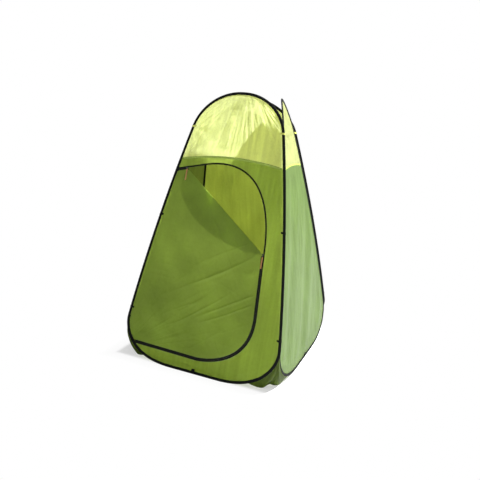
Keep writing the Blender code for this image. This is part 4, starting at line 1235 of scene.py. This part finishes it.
class TENT_OT_zip(bpy.types.Operator):
    """Runs the zip: woven tapes and moulded teeth on the surround, the door and the flap"""

    bl_idname = "tent.zip"
    bl_label = "Zip"

    def execute(self, context):
        trim = context.scene.tent_trim
        tape = webbing("zip_tape", ZIP_BLACK, ZIP_THREAD, (0.004, -0.004), 0.0009, 0.7)
        teeth = hard_surface("zip_teeth", TEETH_BLACK, 0.45, 0.0, 0.00002, 0.15)
        half = (TAPE_WIDTH - ZIP_EDGE) / 2
        margin = FLAP_MARGIN / 3
        top = np.array([ZIP_TOP[0], stepped(ZIP_TOP[1], ZIP_TOP[0], ZIP_END_GAP)])
        side = np.concatenate([[stepped(ZIP_SIDE[0], ZIP_SIDE[1], ZIP_END_GAP)], ZIP_SIDE[1:]])
        flap = along(spaced(ZIP_OPEN, FLAP_POINTS), np.linspace(margin, 1 - margin, FLAP_POINTS))
        runs = (
            ("surround", ZIP_LINE, -1, "front_wall", 620, 0.0),
            ("door_top", top, 1, "door", 10, 0.5),
            ("door_side", side, 1, "door", 300, 0.5),
            ("flap", flap, 1, "flap", 220, 0.5),
        )
        for name, line, sign, body, count, phase in runs:
            line = spaced(line, count + 1)
            middle = sign * (ZIP_EDGE + TAPE_WIDTH) / 2
            place, normal, across = carried(FRONT, line)
            run = run_of(place)

            def lay(s, t):
                at = np.round(s * (len(place) - 1)).astype(int)
                a = middle + (2 * t - 1) * half
                wave = 0.0002 * np.sin(run[at] * 300)
                points = place[at] + across[at] * a[:, None] + normal[at] * wave[:, None]
                if name == "flap":
                    points = turned_in(points)
                return points, np.stack([run[at], (2 * t - 1) * half], -1)

            strip = sheet(f"zip_{name}", (count, ZIP_ROWS), lay, STRAP_THICK)
            chain = self.teeth(name, place, normal, across, run, sign, phase, trim.tooth_pitch)
            finish_piece(chain, teeth, body)
            finish_piece(
                strip, tape, body, [f"zip_tape_{name}"],
                (2 * half * TAPE_EASE, run[-1] * TAPE_EASE),
            )
        return {"FINISHED"}

    def teeth(self, name, place, normal, across, run, sign, phase, pitch):
        """A row of teeth a pitch apart along a tape's edge, started at a phase of the pitch."""
        bm = bmesh.new()
        low, high = (-0.0004, -pitch * 0.2, -0.0013), (0.0030, pitch * 0.2, 0.0013)
        for number in range(int(run[-1] / pitch)):
            at = (number + 0.25 + phase) * pitch
            spot = [np.interp(at, run, place[:, k]) for k in range(3)]
            index = min(int(np.searchsorted(run, at)), len(place) - 1)
            aside = Vector(across[index] * sign)
            out = Vector(normal[index])
            turn = Matrix((aside, aside.cross(out), out)).transposed().to_4x4()
            turn.translation = Vector(spot)
            box_into(bm, low, high, turn)
        mesh = bpy.data.meshes.new(f"zip_teeth_{name}")
        bm.to_mesh(mesh)
        bm.free()
        if name == "flap":
            points = np.empty(len(mesh.vertices) * 3)
            mesh.vertices.foreach_get("co", points)
            mesh.vertices.foreach_set("co", turned_in(points.reshape(-1, 3)).ravel())
        return new_object(f"zip_teeth_{name}", mesh)


class TENT_OT_tabs(bpy.types.Operator):
    """Sews the tabs over the piping at each corner, and the peg loops at each foot"""

    bl_idname = "tent.tabs"
    bl_label = "Corner tabs and peg loops"

    def execute(self, context):
        trim = context.scene.tent_trim
        cloth = context.scene.tent_cloth
        edge = trim.tab_height / 2 - 0.002
        black = webbing("black_tab", trim.piping, trim.thread, (edge, -edge), 0.0012)
        pale = webbing("pale_tab", PALE_TAB, shaded(cloth.yellow, 0.6), (edge, -edge), 0.0012, 0.6)
        for name, proud, side, tucked, bodies in CORNERS:
            for level, height in TAB_LEVELS.items():
                strap = self.tab_place(proud, side, tucked, height, trim.tab_height)
                piece = sheet(f"tab_{name}_{level}", GRIDS["tab"], strap, STRAP_THICK)
                material = pale if level == "high" else black
                finish_piece(
                    piece, material, None if bodies else proud.body,
                    [f"corner_tab_{name}_{level}"], (trim.tab_height * TAPE_EASE, STRAP_LENGTH),
                )
                if bodies:
                    bend_at_corner(piece, bodies, proud, side, tucked, height, TAB_BEND)
        for wall in WALLS:
            piece = sheet(f"peg_strap_{wall.name}", GRIDS["peg"], self.loop_place(wall), STRAP_THICK)
            finish_piece(
                piece, black, wall.body, [f"peg_loop_{wall.name}"], PEG_CUT,
            )
        return {"FINISHED"}

    def tab_place(self, proud, side, tucked, height, tall):
        """A strap round the corner at one height: over the proud bead, round its edge, over the tucked one."""
        low = BEAD_HALF + STRAP_CLEAR

        def place(s, t):
            z = height + (t - 0.5) * tall
            beyond = proud.half(z) + HOOP_OVERHANG + BINDING_OUTSIDE + STRAP_CLEAR
            start = proud.point(side * (proud.half(z) - TAB_REACH), z, low - STRAP_SINK)
            over = proud.point(side * (beyond - 0.003), z, low)
            edge = proud.point(side * (beyond + 0.0006), z, 0.0)
            turn = proud.point(side * (beyond - 0.001), z, -TAB_TURN)
            end = tucked.point(-side * (tucked.half(z) - TAB_REACH), z, low - STRAP_SINK)
            corners = (start, over, edge, turn, end)
            points = sum(corner * hat(s, TAB_KNOTS, index)[:, None] for index, corner in enumerate(corners))
            return points, np.stack([s * TAB_RUN, (t - 0.5) * tall], -1)

        return place

    def loop_place(self, wall):
        """A strap folded into a loop at the middle of a wall's foot."""
        turn = np.linspace(0, math.tau * 0.5, 20)
        front = np.stack([0.0100 - 0.0030 * np.sin(turn), BEAD_HALF + 0.0022 - 0.0014 * np.cos(turn)], -1)
        up = np.array([[0.034, BEAD_HALF + STRAP_CLEAR], [0.020, BEAD_HALF + STRAP_CLEAR]])
        back = np.array([[0.022, BEAD_HALF + 0.0036], [0.032, BEAD_HALF + 0.0020]])
        rows = GRIDS["peg"][1]
        section = spaced(np.concatenate([up, front, back]), rows + 1)
        length = np.linalg.norm(np.diff(section, axis=0), axis=1).sum()

        def place(s, t):
            at = np.round(t * rows).astype(int)
            u = (s - 0.5) * PEG_WIDTH
            points = wall.point(u, section[at, 0], section[at, 1])
            return points, np.stack([t * length, u], -1)

        return place


def hat(s, knots, index):
    """The share of one of a run of points at s, straight between its neighbours."""
    return np.interp(s, knots, np.eye(len(knots))[index])


def bend_at_corner(piece, bodies, proud, side, tucked, height, width):
    """Works out a way round a corner, over twice the width, between its two walls, but only bakes the piece's
    place into its mesh; the way is not used.
    """
    proud_edge = proud.point(side * proud.half(height), height)
    tucked_edge = tucked.point(-side * tucked.half(height), height)
    middle = (proud_edge + tucked_edge) / 2
    inward = [wall.point(0.0, height) - middle for wall in bodies]
    way = inward[1] / np.linalg.norm(inward[1]) - inward[0] / np.linalg.norm(inward[0])
    way = way / np.linalg.norm(way) * width
    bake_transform(piece)


class TENT_OT_gussets(bpy.types.Operator):
    """Drapes the slack cloth between the feet at each corner, crumpled on the ground"""

    bl_idname = "tent.gussets"
    bl_label = "Corner gussets"

    def execute(self, context):
        cloth = context.scene.tent_cloth
        dye = ("dark_taffeta", cloth.gusset, cloth.side_shaded_glow, cloth.side_through, PAINTED_PLEAT_STREAKS["gusset"])
        dark = taffeta(*dye, cloth)
        for number, (name, proud, side, tucked, bodies) in enumerate(CORNERS):
            place = self.gusset_place(proud, side, tucked, number)
            piece = sheet(f"gusset_{name}", GRIDS["gusset"], place, GUSSET_THICK)
            finish_piece(
                piece, dark, None if bodies else proud.body,
                [f"corner_gusset_{name}"], GUSSET_CUT,
            )
            if bodies:
                bend_at_corner(piece, bodies, proud, side, tucked, GUSSET_TOP, GUSSET_BEND)
        return {"FINISHED"}

    def gusset_place(self, proud, side, tucked, seed):
        """Places the cloth between two feet's bindings, swelling outward and sagging to the ground."""
        behind = BEAD_HALF + 0.0007
        edges = []
        for wall, way, rim, out in (
            (proud, side, GUSSET_PROUD, -behind),
            (tucked, -side, HOOP_SET - behind, GUSSET_TUCKED),
        ):
            line = hoop_line(wall, 2 * HOOP_POINTS)
            place, normal, across = carried(wall, line, closed=True)
            keep = (way * line[:, 0] > GUSSET_FOOT * wall.wire(line[:, 1])) & (line[:, 1] < GUSSET_TOP)
            edge = (place + across * rim + normal * out)[keep]
            edges.append(edge[np.argsort(-edge[:, 2])])
        way = proud.turn @ [0, -1, 0] + tucked.turn @ [0, -1, 0]
        way = way / np.linalg.norm(way)
        drop = (edges[0][-1, 2] + edges[1][-1, 2]) / 2 - GUSSET_LIFT

        def place(s, t):
            down = 1 - t
            first, second = along(edges[0], down), along(edges[1], down)
            points = first + (second - first) * s[:, None]
            swell = np.sin(math.pi * s) * down
            lobes = swell * (1 - np.cos(4 * math.pi * s)) / 2
            broad, fine = lattice(s * 9, down * 2.5, seed), lattice(s * 18, down * 7, seed + 4)
            crumple = swell * (0.006 * broad + 0.003 * fine)
            shift = GUSSET_SWELL * swell + GUSSET_LOBES * lobes + crumple
            points = points + way * shift[:, None]
            rise, middle, spread = GUSSET_NOTCH
            sag = 1 - (1 - s) ** 6 - s**6 - rise * np.exp(-(((s - middle) / spread) ** 2))
            points[:, 2] -= drop * sag * down**2
            points[:, 2] = np.maximum(points[:, 2] + 0.3 * crumple, 0.0008)
            return points, np.stack([s * GUSSET_PATTERN[0], t * GUSSET_PATTERN[1]], -1)

        return place


class TENT_OT_hardware(bpy.types.Operator):
    """Finishes the hoops, the sliders and the zip pulls"""

    bl_idname = "tent.hardware"
    bl_label = "Sliders, pulls and hoops"

    def execute(self, context):
        trim = context.scene.tent_trim
        steel = hard_surface("hoop_steel", STEEL, 0.35, 1.0, 0.00001)
        lacquer = hard_surface("slider_lacquer", trim.metal, 0.32, 0.85, 0.00001)
        strap = leather("pull_leather", trim.pull)
        for name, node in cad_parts.items():
            if name.startswith("hoop"):
                node.material_slots[0].material = steel
            elif name.startswith("zip_slider"):
                node.material_slots[0].material = lacquer
        for name in ("side", "top"):
            low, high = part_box(f"zip_pull_{name}")
            self.pull(name, low, high, strap, lacquer)
        return {"FINISHED"}

    def pull(self, name, low, high, strap, lacquer):
        """A leather strip on a wire bail, hanging down the wall from the slider."""
        normal = FRONT.normal((low.z + high.z) / 2)
        down = np.array([0, normal[2], -normal[1]])
        if down[2] > 0:
            down = -down
        top = np.array([(low.x + high.x) / 2, high.y, high.z])
        aside = np.array([1.0, 0, 0])
        tall = (high.z - low.z) / -down[2]

        def place(s, t):
            run = PULL_FROM + (tall - PULL_FROM - PULL_END) * s
            upper = np.clip((run - PULL_FROM) / 0.004, 0, 1)
            lower = np.clip((tall - PULL_END - run) / 0.0035, 0, 1)
            half = PULL_HALF * np.sqrt(np.clip(upper * lower, 0.12, 1))
            a = (2 * t - 1) * half
            rise = 0.0004 * np.cos(a * 500)
            points = top + down * run[:, None] + aside * a[:, None] + normal * rise[:, None]
            return points, np.stack([run, a], -1)

        piece = sheet(f"pull_strap_{name}", GRIDS["pull"], place, PULL_THICK)
        finish_piece(piece, strap, f"pull_{name}", [f"zip_pull_{name}"])
        turns = np.linspace(0, math.tau, BAIL_POINTS + 1)
        across, along_it = [np.sign(part) * np.abs(part) ** 0.4 for part in (np.cos(turns), np.sin(turns))]
        fall = (along_it * 0.5 + 0.5) * BAIL_LENGTH
        ring = top + aside * (across * BAIL_HALF)[:, None] + down * fall[:, None]

        def bail(s, t):
            at = np.round(s * BAIL_POINTS).astype(int)
            way = np.roll(ring[:-1], -1, 0) - np.roll(ring[:-1], 1, 0)
            way = way / np.linalg.norm(way, axis=1, keepdims=True)
            side = np.cross(way, normal)[at % BAIL_POINTS]
            beside_it, off = np.cos(math.tau * t) * BAIL_WIRE, np.sin(math.tau * t) * BAIL_WIRE
            points = ring[at] + side * beside_it[:, None] + normal * off[:, None]
            return points, np.stack([s * 0.03, t * 0.004], -1)

        piece = laid(f"pull_bail_{name}", (BAIL_POINTS, BAIL_ROWS), bail, closed=True)
        finish_piece(piece, lacquer, f"pull_{name}")


# Stage


class TENT_OT_stage(bpy.types.Operator):
    """Sets the floor, the lamps, the sky and the camera"""

    bl_idname = "tent.stage"
    bl_label = "Stage"

    def execute(self, context):
        settings = context.scene.tent_stage
        self.floor(settings)
        self.sky(context.scene, settings)
        for name, place, aim, size in LAMPS:
            self.lamp(name, place, aim, size, getattr(settings, name))
        self.camera(context.scene, settings)
        context.scene.view_settings.view_transform = "Standard"
        return {"FINISHED"}

    def floor(self, settings):
        """A pale floor that turns white to the camera away from the tent."""
        bm = bmesh.new()
        bmesh.ops.create_circle(bm, cap_ends=True, segments=96, radius=FLOOR_RADIUS)
        mesh = bpy.data.meshes.new("floor")
        bm.to_mesh(mesh)
        bm.free()
        floor = new_object("floor", mesh)
        material, tree, shader = material_tree("pale_floor")
        shader.inputs["Base Color"].default_value = (*settings.floor, 1)
        shader.inputs["Roughness"].default_value = 0.9
        shader.inputs["Specular IOR Level"].default_value = 0.1
        place = add_node(tree, "ShaderNodeTexCoord").outputs["Object"]
        split = add_node(tree, "ShaderNodeSeparateXYZ")
        tree.links.new(place, split.inputs["Vector"])
        sides = [math_node(tree, "ABSOLUTE", split.outputs[axis], 0.0) for axis in ("X", "Y")]
        far = math_node(tree, "MAXIMUM", *sides)
        near = add_node(tree, "ShaderNodeValToRGB")
        stops = near.color_ramp.elements
        stops.new(FLOOR_WHITE[1][0])
        for stop, (distance, share) in zip(stops, FLOOR_WHITE):
            stop.position, stop.color = distance, (share, share, share, 1)
        tree.links.new(far, near.inputs["Fac"])
        path = add_node(tree, "ShaderNodeLightPath")
        seen = math_node(tree, "MULTIPLY", near.outputs["Color"], path.outputs["Is Camera Ray"])
        white = add_node(tree, "ShaderNodeEmission")
        mix = add_node(tree, "ShaderNodeMixShader")
        tree.links.new(seen, mix.inputs["Fac"])
        tree.links.new(shader.outputs["BSDF"], mix.inputs[1])
        tree.links.new(white.outputs["Emission"], mix.inputs[2])
        tree.links.new(mix.outputs["Shader"], tree.nodes["Material Output"].inputs["Surface"])
        mesh.materials.append(material)

    def sky(self, scene, settings):
        """Light from all round, which the camera and mirrored or passing rays see as white."""
        world = bpy.data.worlds.new("sky")
        scene.world = world
        world.use_nodes = True
        tree = world.node_tree
        back = tree.nodes["Background"]
        back.inputs["Color"].default_value = (1, 1, 1, 1)
        path = add_node(tree, "ShaderNodeLightPath")
        seen = math_node(tree, "MAXIMUM", path.outputs["Is Camera Ray"], path.outputs["Is Glossy Ray"])
        seen = math_node(tree, "MAXIMUM", seen, path.outputs["Is Transmission Ray"])
        more = math_node(tree, "MULTIPLY", seen, 1 - settings.world)
        tree.links.new(math_node(tree, "ADD", more, settings.world), back.inputs["Strength"])

    def lamp(self, name, place, aim, size, power):
        light = bpy.data.lights.new(name, "AREA")
        light.shape = "DISK"
        light.size = size
        light.energy = power
        lamp = new_object(name, light)
        lamp.location = place
        way = Vector(aim) - Vector(place)
        lamp.rotation_euler = way.to_track_quat("-Z", "Y").to_euler()

    def camera(self, scene, settings):
        yaw, pitch, roll = CAMERA_YAW, CAMERA_PITCH, CAMERA_ROLL
        level = math.cos(pitch)
        ahead = Vector((-math.sin(yaw) * level, math.cos(yaw) * level, -math.sin(pitch)))
        right = Vector((math.cos(yaw), math.sin(yaw), 0))
        up = right.cross(ahead)
        turned_right = math.cos(roll) * right + math.sin(roll) * up
        turned_up = -math.sin(roll) * right + math.cos(roll) * up
        turn = Matrix((turned_right, turned_up, -ahead)).transposed().to_4x4()
        camera = bpy.data.cameras.new("camera")
        camera.lens = settings.lens
        camera.sensor_width = SENSOR_WIDTH
        viewer = new_object("camera", camera)
        viewer.matrix_world = Matrix.Translation(CAMERA_PLACE) @ turn
        scene.camera = viewer


OPERATORS = (
    TENT_OT_stage,
    TENT_OT_walls,
    TENT_OT_surround,
    TENT_OT_door,
    TENT_OT_piping,
    TENT_OT_seams,
    TENT_OT_zip,
    TENT_OT_tabs,
    TENT_OT_gussets,
    TENT_OT_hardware,
)


class TENT_PT_panel(bpy.types.Panel):
    """Lists the tent's pieces and settings"""

    bl_idname = "TENT_PT_panel"
    bl_label = "Toilet tent"
    bl_space_type = "VIEW_3D"
    bl_region_type = "UI"
    bl_category = "Tent"

    def draw(self, context):
        for operator in OPERATORS:
            self.layout.operator(operator.bl_idname)
        for group in (context.scene.tent_cloth, context.scene.tent_trim, context.scene.tent_stage):
            for key in group.bl_rna.properties.keys():
                if key not in ("rna_type", "name"):
                    self.layout.prop(group, key)


CLASSES = (TentCloth, TentTrim, TentStage, *OPERATORS, TENT_PT_panel)


def register():
    for kind in CLASSES:
        bpy.utils.register_class(kind)
    bpy.types.Scene.tent_cloth = PointerProperty(type=TentCloth)
    bpy.types.Scene.tent_trim = PointerProperty(type=TentTrim)
    bpy.types.Scene.tent_stage = PointerProperty(type=TentStage)


def unregister():
    del bpy.types.Scene.tent_stage
    del bpy.types.Scene.tent_trim
    del bpy.types.Scene.tent_cloth
    for kind in reversed(CLASSES):
        bpy.utils.unregister_class(kind)


def main():
    register()
    for operator in OPERATORS:
        group, name = operator.bl_idname.split(".")
        getattr(getattr(bpy.ops, group), name)()


if __name__ == "__main__":
    main()
